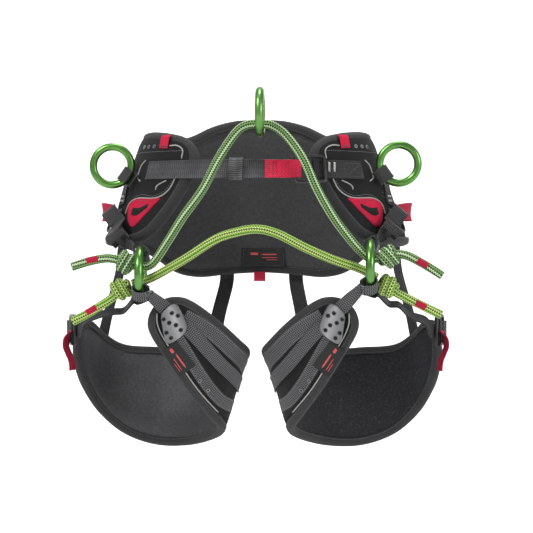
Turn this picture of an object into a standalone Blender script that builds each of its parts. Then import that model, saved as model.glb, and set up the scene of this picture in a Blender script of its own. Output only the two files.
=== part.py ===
"""Tree climbing saddle: a padded waist belt with hip wings, two padded leg loops, metal rings,
two rope bridges with stopper knots, buckles and webbing. Lengths below are in millimetres and
angles in degrees; objects are made in metres. -Y is the front, +X the wearer's left, +Z up.
The origin is the middle of the wearer's waist at the height of the front belt.
"""

import math

import bmesh
import bpy
import numpy as np

MM = 0.001

# Body: the waist is an ellipse that flares towards the hips.
WAIST_HALF_WIDTH = 154.0
WAIST_HALF_DEPTH = 115.0
FLARE_WIDTH = 0.345
FLARE_DEPTH = 0.25
PAD_THICKNESS = 12.0
PANEL_THICKNESS = 3.0
LEG_PAD_THICKNESS = 11.0
PLATE_THICKNESS = 2.4
PLATE_SLANT = 0.25
GAP = 0.3
TURN_STEPS = 10
SOFT_EDGE = 50  # faces meeting at less than this are shaded as one surface

# Webbing
BELT_WIDTH = 25.0
WEBBING = 2.2
PANEL_OUT = PAD_THICKNESS + 3 * GAP
ON_PANEL = PANEL_OUT + PANEL_THICKNESS + GAP
BELT_Z = -5.0
KEEPER_ANGLE = -172.6
LOOP_WIDTH = 18.0
REAR_STRAP_WIDTH = 20.0
LOOP_PLAY = 1.5

# Edges of the waist pad: height against the angle from the back, and the wings' front edge as
# the angle against the height.
FRONT_ANGLE = 150.0
TOP_EDGE = [(0, 71), (15, 69), (28, 61), (42, 46), (60, 41), (90, 46), (120, 45), (135, 41),
            (143, 36), (148, 27), (150, 18)]
BOTTOM_EDGE = [(0, -138), (15, -141), (28, -145), (40, -138), (50, -122), (62, -109), (90, -103),
               (120, -102), (150, -98)]
FRONT_EDGE = [(-104, 132), (-98, 133.7), (-79, 139), (-53, 145), (-25, 149.5), (0, 153), (18, 152),
              (41, 148)]
PATCH_TOP = [(117, -48), (120, -44), (130, -42.5), (138.5, -42)]
PATCH_BOTTOM = [(117, -54), (121, -72), (125.5, -79), (132, -63), (138.5, -43)]

# Rings
HIP_RING_RADIUS = 31.0
HIP_RING_TUBE = 6.5
SIDE_RING_RADIUS = 25.2
SIDE_RING_TUBE = 5.2
BRIDGE_RING_RADIUS = 27.2
BRIDGE_RING_TUBE = 5.75
RING_TURNS = 28  # facets round a ring, one of them square to each of its axes
RING_SIDES = 8
HIP_RING = {"L": (-146.0, -130.0, -141.0), "R": (151.5, -130.0, -132.0)}
SIDE_RING = {"L": (-190.0, -60.0, 2.0), "R": (190.0, -60.0, 4.0)}
SIDE_LOOP_ANGLE = 35.0

# Ropes: routes from the left knot to the right knot, and each tail from its knot outwards.
ROPE = 11.5
BRIDGE_TOP = (10.0, -160.0, 51.0)
UPPER_ROUTE = [(-153, -134, -128), (-141, -137, -132), (-128, -140, -126), (-109, -144, -98),
               (-90, -148, -68), (-64, -152, -32), (-43, -155, 8), (-21, -158, 40), (-6, -159.5, 50.2),
               (10, -160, 51), (25, -159.5, 49.5), (43, -158, 37), (65, -155, 7), (83, -152, -32),
               (104, -148, -68), (126, -144, -97), (142, -141, -114), (151, -138, -121),
               (162, -136, -121)]
LOWER_ROUTE = [(-157, -126, -154), (-146, -127, -150), (-133, -133, -147), (-108, -146, -134),
               (-82, -158, -119), (-47, -170, -97), (-20, -177, -88), (7, -180, -84), (33, -178, -90),
               (69, -169, -108), (104, -155, -123), (137, -138, -134), (151, -132, -141),
               (160, -133, -146)]
# centre and half sizes of each knot, then the route of its tail
KNOTS = {
    "upper_L": ((-164.5, -135, -127), (10, 14, 18), [(-175, -136, -123), (-190, -137, -121),
                                                   (-212, -138, -125), (-234, -138, -132)]),
    "lower_L": ((-171.5, -128, -161), (14, 13, 15), [(-183, -128, -172), (-196, -127, -181),
                                                   (-216, -126, -193), (-235, -126, -203)]),
    "upper_R": ((174.5, -136, -120), (10, 14, 16), [(185, -134, -116), (200, -135, -118),
                                                  (223, -136, -130), (244, -136, -143)]),
    "lower_R": ((174.5, -133, -157), (13, 12, 16), [(186, -132, -166), (200, -130, -173),
                                                  (222, -126, -184), (243, -126, -194)]),
}

# Leg loop, left side: pairs of top and bottom edge points from the hip ring round the inner
# thigh and the back to the outer tip.
LEG_ROWS = [
    ((-117.5, -125, -165), (-139.5, -128, -182)),
    ((-83, -120, -176), (-135, -122, -214)),
    ((-51, -105, -199), (-116.5, -107, -247)),
    ((-24, -75, -226), (-92, -82, -288)),
    ((-16, -40, -239), (-67, -57, -325)),
    ((-28, 15, -248), (-53, -25, -352)),
    ((-68, 56, -249), (-88, 24, -370)),
    ((-104, 70, -247), (-128, 48, -375)),
    ((-140, 74, -244), (-160, 56, -370)),
    ((-182, 64, -241), (-188, 55, -357)),
    ((-206, 42, -226), (-212, 44, -334)),
    ((-221, 12, -208), (-229, 24, -305)),
    ((-231, -8, -206), (-238, 2, -275)),
    ((-238, -20, -213), (-241.5, -14, -246)),
]
LEG_BUCKLE = (-244.0, -46.0, -216.0)


def remove_all():
    for item in list(bpy.data.objects):
        bpy.data.objects.remove(item, do_unlink=True)


def finish(obj, colour, roughness, metallic=0.0):
    material = bpy.data.materials.new(obj.name)
    material.use_nodes = True
    shader = material.node_tree.nodes["Principled BSDF"]
    shader.inputs["Base Color"].default_value = (*colour, 1.0)
    shader.inputs["Roughness"].default_value = roughness
    shader.inputs["Metallic"].default_value = metallic
    obj.data.materials.append(material)


BLACK_FABRIC = ((0.012, 0.012, 0.013), 0.8)
LINING = ((0.032, 0.032, 0.034), 0.65)
GREY_WEBBING = ((0.075, 0.075, 0.08), 0.75)
RED = ((0.55, 0.02, 0.05), 0.6)
GREEN_METAL = ((0.10, 0.42, 0.10), 0.3, 0.9)
BLACK_METAL = ((0.02, 0.02, 0.022), 0.35, 0.6)
PLATE_GREY = ((0.15, 0.155, 0.16), 0.25)
DARK_ROPE = ((0.03, 0.14, 0.07), 0.7)
LIME_ROPE = ((0.40, 0.68, 0.08), 0.7)


def add_mesh(name, vertices, faces, look, origin=(0, 0, 0), smooth=None):
    """A closed body from vertices in millimetres, with its origin where it turns."""
    base = np.array(origin, float)
    points = [tuple((np.array(v, float) - base) * MM) for v in vertices]
    mesh = bpy.data.meshes.new(name)
    mesh.from_pydata(points, [], faces)
    work = bmesh.new()
    work.from_mesh(mesh)
    bmesh.ops.recalc_face_normals(work, faces=work.faces)
    work.to_mesh(mesh)
    work.free()
    obj = bpy.data.objects.new(name, mesh)
    bpy.context.collection.objects.link(obj)
    obj.location = base * MM
    finish(obj, *look)
    if smooth:
        mesh.shade_smooth()
        mesh.set_sharp_from_angle(angle=math.radians(smooth))
    return obj


def hermite(points, x):
    """Smooth curve through (x, y) points."""
    xs = np.array([p[0] for p in points], float)
    ys = np.array([p[1] for p in points], float)
    slopes = np.gradient(ys, xs)
    i = int(np.clip(np.searchsorted(xs, x) - 1, 0, len(xs) - 2))
    span = xs[i + 1] - xs[i]
    t = min(1.0, max(0.0, (x - xs[i]) / span))
    return ((2 * t**3 - 3 * t**2 + 1) * ys[i] + (t**3 - 2 * t**2 + t) * span * slopes[i]
            + (3 * t**2 - 2 * t**3) * ys[i + 1] + (t**3 - t**2) * span * slopes[i + 1])


def smooth_route(points, steps):
    """Points of a Catmull-Rom curve through a route, evenly spaced along its length. Columns
    after the third, such as a direction across, are carried along."""
    p = np.array(points, float)
    p = np.vstack([2 * p[0] - p[1], p, 2 * p[-1] - p[-2]])
    fine = []
    for i in range(1, len(p) - 2):
        for t in np.linspace(0, 1, 24, endpoint=False):
            fine.append(0.5 * (2 * p[i] + (p[i + 1] - p[i - 1]) * t
                               + (2 * p[i - 1] - 5 * p[i] + 4 * p[i + 1] - p[i + 2]) * t**2
                               + (3 * p[i] - p[i - 1] - 3 * p[i + 1] + p[i + 2]) * t**3))
    fine = np.array(fine + [p[-2]])
    steps_long = np.linalg.norm(np.diff(fine[:, :3], axis=0), axis=1)
    run = np.concatenate([[0], np.cumsum(steps_long)])
    marks = np.linspace(0, run[-1], steps)
    return np.stack([np.interp(marks, run, fine[:, k]) for k in range(fine.shape[1])], axis=1)


def unit(v):
    v = np.array(v, float)
    return v / np.linalg.norm(v)


def waist_point(angle, z, out):
    """A point on the body's waist, out millimetres outside it; angle 0 is the back."""
    turn = math.radians(angle)
    return np.array([(WAIST_HALF_WIDTH - FLARE_WIDTH * z + out) * math.sin(turn),
                     (WAIST_HALF_DEPTH - FLARE_DEPTH * z + out) * math.cos(turn), z])


def waist_normal(angle, z, out):
    turn = math.radians(angle)
    width = WAIST_HALF_WIDTH - FLARE_WIDTH * z + out
    depth = WAIST_HALF_DEPTH - FLARE_DEPTH * z + out
    rise = FLARE_WIDTH * math.sin(turn)**2 / width + FLARE_DEPTH * math.cos(turn)**2 / depth
    return unit((math.sin(turn) / width, math.cos(turn) / depth, rise))


def waist_along(angle, z):
    return unit(waist_point(angle + 1, z, 0) - waist_point(angle - 1, z, 0))


def pad_point(u, v, out):
    """u runs from -1, the left wing's front edge, to 1; v from the bottom edge to the top."""
    nominal = FRONT_ANGLE * abs(u)
    z = (1 - v) * hermite(BOTTOM_EDGE, nominal) + v * hermite(TOP_EDGE, nominal)
    return waist_point(u * hermite(FRONT_EDGE, z), z, out)


def grid_solid(name, inner, outer, look, origin=(0, 0, 0)):
    """A closed shell between two grids of points of the same size."""
    rows, columns = len(inner), len(inner[0])
    vertices = [p for row in inner for p in row] + [p for row in outer for p in row]
    base = rows * columns

    def at(i, j, layer):
        return layer * base + i * columns + j

    faces = []
    for layer in (0, 1):
        for i in range(rows - 1):
            for j in range(columns - 1):
                faces.append((at(i, j, layer), at(i + 1, j, layer),
                              at(i + 1, j + 1, layer), at(i, j + 1, layer)))
    for i in range(rows - 1):
        for j in (0, columns - 1):
            faces.append((at(i, j, 0), at(i + 1, j, 0), at(i + 1, j, 1), at(i, j, 1)))
    for j in range(columns - 1):
        for i in (0, rows - 1):
            faces.append((at(i, j, 0), at(i, j + 1, 0), at(i, j + 1, 1), at(i, j, 1)))
    return add_mesh(name, vertices, faces, look, origin, SOFT_EDGE)


def ribbon(name, stations, width, thickness, look, origin=(0, 0, 0), steps=None):
    """A flat strap along stations, each a point and the direction across it."""
    stations = np.array([np.concatenate([p, unit(w)]) for p, w in stations], float)
    if steps:
        stations = smooth_route(stations, steps)
    tangents = np.gradient(stations[:, :3], axis=0)
    vertices, faces = [], []
    for row, t in zip(stations, tangents):
        p, w, t = row[:3], row[3:], unit(t)
        w = unit(w - t * np.dot(w, t))
        n = np.cross(t, w)
        for a, b in ((-1, -1), (1, -1), (1, 1), (-1, 1)):
            vertices.append(p + w * a * width / 2 + n * b * thickness / 2)
    last = len(stations) - 1
    for i in range(last):
        for k in range(4):
            m = (k + 1) % 4
            faces.append((4 * i + k, 4 * i + m, 4 * i + 4 + m, 4 * i + 4 + k))
    faces += [(0, 1, 2, 3), (4 * last, 4 * last + 1, 4 * last + 2, 4 * last + 3)]
    return add_mesh(name, vertices, faces, look, origin, SOFT_EDGE)


def loop_round(tube, away, across, radius, length, from_point=None):
    """A strap's teardrop turn round a tube: away points from the tube to the strap's run, and
    the turn starts on the side of from_point."""
    w = unit(across)
    d = unit(np.array(away, float) - w * np.dot(away, w))
    n = np.cross(w, d)
    if from_point is not None and np.dot(n, from_point - tube) < 0:
        n = -n
    near = WEBBING / 2 + GAP
    middle = near + (radius - near) * 0.55
    points = [tube + d * length + n * near, tube + d * (radius + length) * 0.5 + n * middle]
    for k in range(TURN_STEPS + 1):
        turn = math.radians(-15 + k * 210 / TURN_STEPS)
        points.append(tube + radius * (n * math.cos(turn) - d * math.sin(turn)))
    points.append(tube + d * (radius + length) * 0.5 - n * middle)
    return [(p, w) for p in points]


def torus(name, centre, normal, radius, tube, look, origin=None):
    """A ring whose middle facets are square to its own axes, so that they can seat a part."""
    turns, sides = RING_TURNS, RING_SIDES
    axis = unit(normal)
    e1 = unit(np.cross((0, 0, 1), axis)) if abs(axis[2]) < 0.9 else np.array([1.0, 0, 0])
    e2 = np.cross(axis, e1)
    vertices, faces = [], []
    for i in range(turns):
        a = 2 * math.pi * (i + 0.5) / turns
        ray = e1 * math.cos(a) + e2 * math.sin(a)
        for j in range(sides):
            b = 2 * math.pi * (j + 0.5) / sides
            vertices.append(np.array(centre) + ray * (radius + tube * math.cos(b))
                            + axis * tube * math.sin(b))
    for i in range(turns):
        for j in range(sides):
            k, m = (i + 1) % turns, (j + 1) % sides
            faces.append((i * sides + j, k * sides + j, k * sides + m, i * sides + m))
    return add_mesh(name, vertices, faces, look, centre if origin is None else origin, SOFT_EDGE)


def slotted_plate(name, centre, across, up, columns, rows, holes, thickness, look, origin=(0, 0, 0)):
    """A flat plate cut by lines at columns and rows; the cells named in holes are open."""
    u, v = unit(across), unit(up)
    n = np.cross(u, v)
    vertices = []
    for layer in (-0.5, 0.5):
        for y in rows:
            for x in columns:
                vertices.append(np.array(centre) + u * x + v * y + n * layer * thickness)
    nx, ny = len(columns), len(rows)

    def at(i, j, layer):
        return layer * nx * ny + j * nx + i

    solid = {(i, j) for i in range(nx - 1) for j in range(ny - 1)} - set(holes)
    faces = []
    for i, j in sorted(solid):
        for layer in (0, 1):
            faces.append((at(i, j, layer), at(i + 1, j, layer),
                          at(i + 1, j + 1, layer), at(i, j + 1, layer)))
        for (di, dj), (a, b) in {(-1, 0): ((0, 0), (0, 1)), (1, 0): ((1, 0), (1, 1)),
                                 (0, -1): ((0, 0), (1, 0)), (0, 1): ((0, 1), (1, 1))}.items():
            if (i + di, j + dj) not in solid:
                faces.append((at(i + a[0], j + a[1], 0), at(i + b[0], j + b[1], 0),
                              at(i + b[0], j + b[1], 1), at(i + a[0], j + a[1], 1)))
    return add_mesh(name, vertices, faces, look, origin)


def round_edges(obj, width):
    bevel = obj.modifiers.new("rounded edges", "BEVEL")
    bevel.width = width * MM
    bevel.segments = 1
    bevel.limit_method = "ANGLE"


def rope_tube(name, route, steps, look):
    curve = bpy.data.curves.new(name, "CURVE")
    curve.dimensions = "3D"
    curve.bevel_depth = ROPE / 2 * MM
    curve.bevel_resolution = 2
    curve.use_fill_caps = True
    line = curve.splines.new("POLY")
    points = smooth_route(route, steps)
    line.points.add(len(points) - 1)
    for node, point in zip(line.points, points):
        node.co = (*(point * MM), 1.0)
    obj = bpy.data.objects.new(name, curve)
    bpy.context.collection.objects.link(obj)
    finish(obj, *look)


def knot_solid(name, centre, halves, look):
    mesh = bpy.data.meshes.new(name)
    work = bmesh.new()
    bmesh.ops.create_uvsphere(work, u_segments=12, v_segments=7, radius=MM)
    bmesh.ops.scale(work, vec=halves, verts=work.verts)
    work.to_mesh(mesh)
    work.free()
    obj = bpy.data.objects.new(name, mesh)
    bpy.context.collection.objects.link(obj)
    obj.location = np.array(centre, float) * MM
    mesh.shade_smooth()
    finish(obj, *look)


def make_waist_pad():
    us, vs = np.linspace(-1, 1, 57), np.linspace(0, 1, 6)
    grids = [[[pad_point(u, v, out) for v in vs] for u in us] for out in (0, PAD_THICKNESS)]
    grid_solid("waist_pad", *grids, LINING)


def waist_patch(name, top, bottom, angles, out, thickness, look):
    """A thin cover on the waist between two heights, each given by the angle from the back."""
    grids = []
    for level in (out, out + thickness):
        grids.append([[waist_point(a, (1 - v) * bottom(abs(a)) + v * top(abs(a)), level)
                       for v in np.linspace(0, 1, 4)] for a in angles])
    return grid_solid(name, *grids, look)


def surface_strap(spots, out, steps):
    """Stations of a strap lying on the waist, from (angle, height) spots."""
    fine = smooth_route([(a, z, 0) for a, z in spots], steps)
    points = np.array([waist_point(a, z, out) for a, z, _ in fine])
    tangents = np.gradient(points, axis=0)
    return [(p, np.cross(waist_normal(a, z, out), unit(t)))
            for (a, z, _), p, t in zip(fine, points, tangents)]


def looped_strap(name, run, tube, away, across, length, origin=(0, 0, 0), steps=44):
    """A strap that comes along run, goes round a hip ring's tube and ends beside itself."""
    if np.dot(run[-1][1], across) < 0:
        across = -np.array(across, float)
    turn = loop_round(np.array(tube, float), away, across, HIP_RING_TUBE + LOOP_PLAY + WEBBING / 2,
                      length, run[-1][0])
    return ribbon(name, run + turn, LOOP_WIDTH, WEBBING, GREY_WEBBING, origin, steps)


def make_wing(side, sign):
    us, vs = np.linspace(0.62, 0.985, 13), np.linspace(0.03, 0.97, 6)
    grids = [[[pad_point(sign * u, v, out) for v in vs] for u in us]
             for out in (PANEL_OUT, PANEL_OUT + PANEL_THICKNESS)]
    grid_solid(f"hip_panel_{side}", *grids, BLACK_FABRIC)
    angles = sign * np.linspace(117, 138.4, 9)
    waist_patch(f"hip_patch_{side}", lambda a: hermite(PATCH_TOP, a),
                lambda a: hermite(PATCH_BOTTOM, a) - 0.4, angles, ON_PANEL, 1.2, RED)
    along = unit(waist_point(sign * 134, 0, 0) - waist_point(sign * 132, 0, 0))
    spots = ((26, ON_PANEL + 1), (36, ON_PANEL + 1.2), (44, ON_PANEL + 1.5), (48.5, ON_PANEL + 1),
             (49.5, ON_PANEL - 2), (49.5, ON_PANEL - 6))
    loop = [(waist_point(sign * 133, z, out), along) for z, out in spots]
    ribbon(f"suspender_loop_{side}", loop, 14, 1.6, RED)


def make_side_ring(side, sign):
    """The ring and the short webbing loop that holds its inner side."""
    centre = np.array(SIDE_RING[side])
    slant = math.radians(SIDE_LOOP_ANGLE)
    inward = np.array([-sign * math.cos(slant), 0, -math.sin(slant)])
    seat = centre + inward * SIDE_RING_RADIUS
    along = np.array([-sign * math.sin(slant), 0, math.cos(slant)])
    torus(f"side_ring_{side}", centre, (0, 1, 0), SIDE_RING_RADIUS, SIDE_RING_TUBE, GREEN_METAL, seat)
    turn = loop_round(seat - inward * 0.6, inward + np.array([0, -1.0, 0]), along,
                      SIDE_RING_TUBE + LOOP_PLAY + WEBBING / 2, 15)
    ribbon(f"side_ring_webbing_{side}", turn, 16, WEBBING, GREY_WEBBING, steps=26)


def make_hip(side, sign):
    """The hip ring, the strap that carries it, its adjuster, pull tab and rolled spare end."""
    centre = np.array(HIP_RING[side])
    torus(f"hip_ring_{side}", centre, (1, 0, 0), HIP_RING_RADIUS, HIP_RING_TUBE, GREEN_METAL)
    run = surface_strap([(sign * 109, -58), (sign * 112, -70), (sign * 117, centre[2] + 55)],
                        ON_PANEL + WEBBING / 2 + 0.7, 9)
    run.append((waist_point(sign * 124, centre[2] + 45, ON_PANEL + 6.5), run[-1][1]))
    ray = unit((0, 0.62, 0.78))
    looped_strap(f"hip_strap_{side}", run, centre + ray * (HIP_RING_RADIUS - 0.6),
                 ray + (0.7 * sign, 0, 0), np.cross(ray, (1, 0, 0)), 17)
    spot = waist_point(sign * 111, -72, ON_PANEL + WEBBING + 3.6)
    up = waist_point(sign * 111, -62, 0) - waist_point(sign * 111, -82, 0)
    along = waist_point(sign * 112, -72, 0) - waist_point(sign * 110, -72, 0)
    frame = slotted_plate(f"hip_adjuster_{side}", spot, along, up, [-16, -12, 12, 16],
                          [-15, -11, -2, 2, 11, 15], {(1, 1), (1, 3)}, 4, BLACK_METAL)
    round_edges(frame, 0.8)
    spots = ((108, -53, 26), (101, -50, 29), (95, -57, 33), (92.5, -72, 35))
    tab = [(waist_point(sign * a, z, out), (0.2 * sign, -0.9, 0.3)) for a, z, out in spots]
    ribbon(f"hip_pull_tab_{side}", tab, 18, 2.0, RED, steps=10)
    lathe_roll(f"hip_strap_roll_{side}", (sign * 183, -108, centre[2] + 50), (0.2 * sign, 0, 1), 8.5, 24,
               GREY_WEBBING)


def lathe_roll(name, centre, axis, radius, height, look):
    """A short round bar with softened ends."""
    w = unit(axis)
    e1 = unit(np.cross(w, (0, 1, 0)))
    e2 = np.cross(w, e1)
    sides = 18
    profile = [(0.82, -0.5), (1.0, -0.44), (1.0, 0.44), (0.82, 0.5)]
    vertices = []
    for share, h in profile:
        for k in range(sides):
            a = 2 * math.pi * k / sides
            ray = e1 * math.cos(a) + e2 * math.sin(a)
            vertices.append(np.array(centre, float) + radius * share * ray + w * h * height)
    faces = [tuple(range(sides)), tuple(range(3 * sides, 4 * sides))]
    for i in range(3):
        for k in range(sides):
            m = (k + 1) % sides
            faces.append((i * sides + k, i * sides + m, (i + 1) * sides + m, (i + 1) * sides + k))
    add_mesh(name, vertices, faces, look, smooth=SOFT_EDGE)


def make_belt():
    """The front strap with its buckle, keeper and pull tab, and the short strap across from it."""
    middle = ON_PANEL + WEBBING / 2
    strap = surface_strap([(-125, BELT_Z), (-150, BELT_Z), (-199, BELT_Z)], middle, 36)
    ribbon("belt_strap", strap, BELT_WIDTH, WEBBING, GREY_WEBBING)
    ribbon("belt_anchor_strap", surface_strap([(125, BELT_Z), (138, BELT_Z), (153, BELT_Z)], middle, 12),
           BELT_WIDTH, WEBBING, GREY_WEBBING)
    spot = waist_point(155.5, BELT_Z, ON_PANEL + WEBBING + 2.9)
    along = -waist_along(155.5, BELT_Z)
    up = np.cross(waist_normal(155.5, BELT_Z, 0), along)
    frame = slotted_plate("belt_buckle", spot, along, up, [-22, -18, -3, 3, 18, 22], [-19, -15, 15, 19],
                          {(1, 1), (3, 1)}, 4.4, BLACK_METAL)
    round_edges(frame, 0.9)
    tab = surface_strap([(175, BELT_Z), (168, BELT_Z), (164.6, BELT_Z)], ON_PANEL + WEBBING + GAP + 1.0, 8)
    ribbon("belt_pull_tab", tab, BELT_WIDTH - 1, 2.0, RED)
    place = waist_point(KEEPER_ANGLE, BELT_Z, middle)
    out = waist_normal(KEEPER_ANGLE, BELT_Z, middle)
    up = np.cross(waist_along(KEEPER_ANGLE, BELT_Z), out)
    slotted_plate("belt_keeper", place, out, up, [-3.5, -1.9, 1.9, 3.5], [-15.4, -13.4, 13.4, 15.4],
                  {(1, 1)}, 18, GREY_WEBBING, origin=place)


def make_back():
    strap = surface_strap([(-86, -42), (-45, -52), (0, -56), (45, -52), (86, -42)],
                          PANEL_OUT + WEBBING / 2 + GAP, 36)
    ribbon("rear_webbing", strap, 44, WEBBING, GREY_WEBBING)
    waist_patch("back_label", lambda a: -106, lambda a: -131, np.linspace(-8, 10, 8), -GAP - 0.8, 0.8,
                BLACK_FABRIC)
    loop = [((-2, 144, -139), (1, 0, 0)), ((-2, 144.5, -148), (1, 0, 0)), ((-2, 149, -152), (1, 0, 0)),
            ((-2, 153.5, -148), (1, 0, 0)), ((-2, 154, -139), (1, 0, 0))]
    ribbon("rear_loop", loop, 16, 1.8, RED, steps=16)


def catmull(rows, s):
    """The point at place s of a smooth curve through rows, which are one apart."""
    i = int(min(max(math.floor(s), 0), len(rows) - 2))
    p1, p2 = rows[i], rows[i + 1]
    p0 = rows[i - 1] if i else 2 * p1 - p2
    p3 = rows[i + 2] if i + 2 < len(rows) else 2 * p2 - p1
    t = s - i
    return 0.5 * (2 * p1 + (p2 - p0) * t + (2 * p0 - 5 * p1 + 4 * p2 - p3) * t**2
                  + (3 * p1 - p0 - 3 * p2 + p3) * t**3)


LEG_TOP = np.array([row[0] for row in LEG_ROWS], float)
LEG_BOTTOM = np.array([row[1] for row in LEG_ROWS], float)
LEG_MIDDLE = (LEG_TOP + LEG_BOTTOM).mean(axis=0) / 2


def leg_point(s, t, out, sign=-1):
    """A point of the leg pad: s goes round from the hip ring, t from top edge to bottom edge."""
    def flat(s, t):
        return catmull(LEG_TOP, s) * (1 - t) + catmull(LEG_BOTTOM, s) * t

    step = 0.02
    ps = flat(s + step, t) - flat(s - step, t)
    pt = flat(s, t + step) - flat(s, t - step)
    n = unit(np.cross(ps, pt))
    p = flat(s, t)
    if np.dot(n, p - LEG_MIDDLE) < 0:
        n = -n
    p = p + n * out
    return np.array([-sign * p[0], p[1], p[2]])


def leg_across(s, t, out, sign):
    return leg_point(s, t + 0.05, out, sign) - leg_point(s, t - 0.05, out, sign)


def make_leg(side, sign):
    """One leg loop: pad, plate, the two straps to the hip ring, the outer buckle and its tab."""
    ring = np.array(HIP_RING[side])

    def grid(s_range, t_range, out, slant=0.0):
        """slant moves the grid down the pad by that much for each step round it."""
        return [[leg_point(s, t + slant * s, out, sign) for t in t_range] for s in s_range]

    round_leg = np.concatenate([np.linspace(0.3, 1, 3)[:-1], np.linspace(1, 13, 33)])
    t_range = np.linspace(0, 1, 5)
    grid_solid(f"leg_pad_{side}", grid(round_leg, t_range, 0),
               grid(round_leg, t_range, LEG_PAD_THICKNESS), LINING, ring)
    on_pad = LEG_PAD_THICKNESS + GAP
    run = [(leg_point(s, 0.42, on_pad + WEBBING / 2 + 1.0, sign), leg_across(s, 0.42, 0, sign))
           for s in np.linspace(4.8, 1.0, 12)]
    run.append((leg_point(0.62, 0.45, on_pad + 4, sign), leg_across(0.62, 0.45, 0, sign)))
    ray = unit((0, -0.64, -0.77))
    tube = ring + ray * (HIP_RING_RADIUS - 0.6)
    looped_strap(f"leg_front_strap_{side}", run, tube, run[-1][0] - tube, np.cross(ray, (1, 0, 0)), 15,
                 ring, steps=50)
    plate_out = on_pad + WEBBING + 2.2
    s_range, t_range = np.linspace(0.82, 1.68, 7), np.linspace(0.0, 0.48, 6)
    grid_solid(f"leg_plate_{side}", grid(s_range, t_range, plate_out, PLATE_SLANT),
               grid(s_range, t_range, plate_out + PLATE_THICKNESS, PLATE_SLANT), PLATE_GREY, ring)
    place = np.array([-sign * LEG_BUCKLE[0], *LEG_BUCKLE[1:]])
    out = np.array([sign * 0.95, -0.31, 0])
    along = unit((-sign * 0.31, -0.95, 0))
    frame = slotted_plate(f"leg_buckle_{side}", place, along, (0, 0, 1), [-17, -13, -2.5, 2.5, 13, 17],
                          [-21, -17, 17, 21], {(1, 1), (3, 1)}, 4.4, BLACK_METAL, ring)
    round_edges(frame, 0.9)
    under = -out * (2.2 + 0.4 + WEBBING / 2)
    spots = [(-224, -80, -209), (-204, -89, -201)]
    near_ring = [(38, 34, -50), (25, 31, -44)]
    run = [(place + under + along * k, (0, 0, 1)) for k in (-2, 8, 18, 26)]
    run += [(np.array([-sign * x, y, z]), (0, 0.1 + 0.1 * k, 1)) for k, (x, y, z) in enumerate(spots)]
    run += [(ring + (sign * x, y, z), (0, 0.7 + 0.2 * k, 0.7)) for k, (x, y, z) in enumerate(near_ring)]
    ray = unit((0, 0.5, -0.87))
    looped_strap(f"leg_outer_strap_{side}", run, ring + ray * (HIP_RING_RADIUS - 0.6),
                 (0.85 * sign, 0.2, -0.4), np.cross(ray, (1, 0, 0)), 15, ring, steps=50)
    tip = loop_round(place - along * 15, -along, (0, 0, 1), 2.6 + 0.9 + WEBBING / 2, 9)
    ribbon(f"leg_tip_strap_{side}", tip, 25, WEBBING, GREY_WEBBING, ring, steps=24)
    folds = ((5, 10), (8, -8), (10, -24), (3, -40), (-3, -52))
    tab = [(place + out * lift + np.array([0, 0, z]), along) for lift, z in folds]
    ribbon(f"leg_pull_tab_{side}", tab, 16, 2.0, RED, ring, steps=14)


def make_rear_straps(side, sign):
    """Elastic straps from the waist pad down to the back of the leg loop."""
    out = PANEL_OUT + WEBBING / 2 + 1.2
    on_leg = LEG_PAD_THICKNESS + GAP + WEBBING / 2 + 1.0

    def on_waist(angle, heights):
        return [(waist_point(sign * angle, z, out), waist_along(sign * angle, z)) for z in heights]

    def round_leg(s, places):
        across = leg_point(s - 0.2, 0, 0, sign) - leg_point(s + 0.2, 0, 0, sign)
        across = across if np.dot(across, (1, 0.2 * sign, 0)) > 0 else -across
        return [(leg_point(s, t, on_leg, sign), across) for t in places]

    path = on_waist(13, (-112, -126, -137))
    path += [((sign * 50, 158, -158), (1, 0, 0)), ((sign * 60, 112, -208), (1, 0, 0))]
    ribbon(f"rear_inner_strap_{side}", path + round_leg(6.0, (0.04, 0.12, 0.22)), REAR_STRAP_WIDTH,
           WEBBING, GREY_WEBBING, steps=22)
    across = waist_along(sign * 66, 0)
    across = across if across[0] > 0 else -across
    path = [(p, across) for p, _ in on_waist(66, (-84, -97, -108))]
    path += [((sign * 192, 64, -140), across), ((sign * 206, 62, -190), across)]
    ribbon(f"rear_outer_strap_{side}", path + round_leg(9.9, (0.03, 0.12, 0.24)), REAR_STRAP_WIDTH,
           WEBBING, GREY_WEBBING, steps=22)


def main():
    remove_all()
    make_waist_pad()
    make_back()
    make_belt()
    for side, sign in (("L", -1), ("R", 1)):
        make_wing(side, sign)
        make_side_ring(side, sign)
        make_hip(side, sign)
        make_leg(side, sign)
        make_rear_straps(side, sign)
    top = np.array(BRIDGE_TOP)
    drop = BRIDGE_RING_RADIUS - BRIDGE_RING_TUBE - ROPE / 2 - GAP
    torus("bridge_ring", top + (0, 0, drop), (1, 0, 0), BRIDGE_RING_RADIUS, BRIDGE_RING_TUBE, GREEN_METAL,
          origin=top)
    rope_tube("bridge_rope_upper", UPPER_ROUTE, 34, DARK_ROPE)
    rope_tube("bridge_rope_lower", LOWER_ROUTE, 26, LIME_ROPE)
    for name, (centre, halves, tail) in KNOTS.items():
        look = DARK_ROPE if name.startswith("upper") else LIME_ROPE
        knot_solid(f"knot_{name}", centre, halves, look)
        rope_tube(f"rope_tail_{name}", tail, 8, look)


main()
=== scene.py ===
"""Looks of a tree climbing saddle: padded waist belt and leg loops, webbing, rings and braided
rope bridges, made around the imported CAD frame. Lengths are in millimetres and angles in degrees;
meshes are made in metres. -Y is the front, L is the side at -X and R the side at +X.
"""

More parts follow.
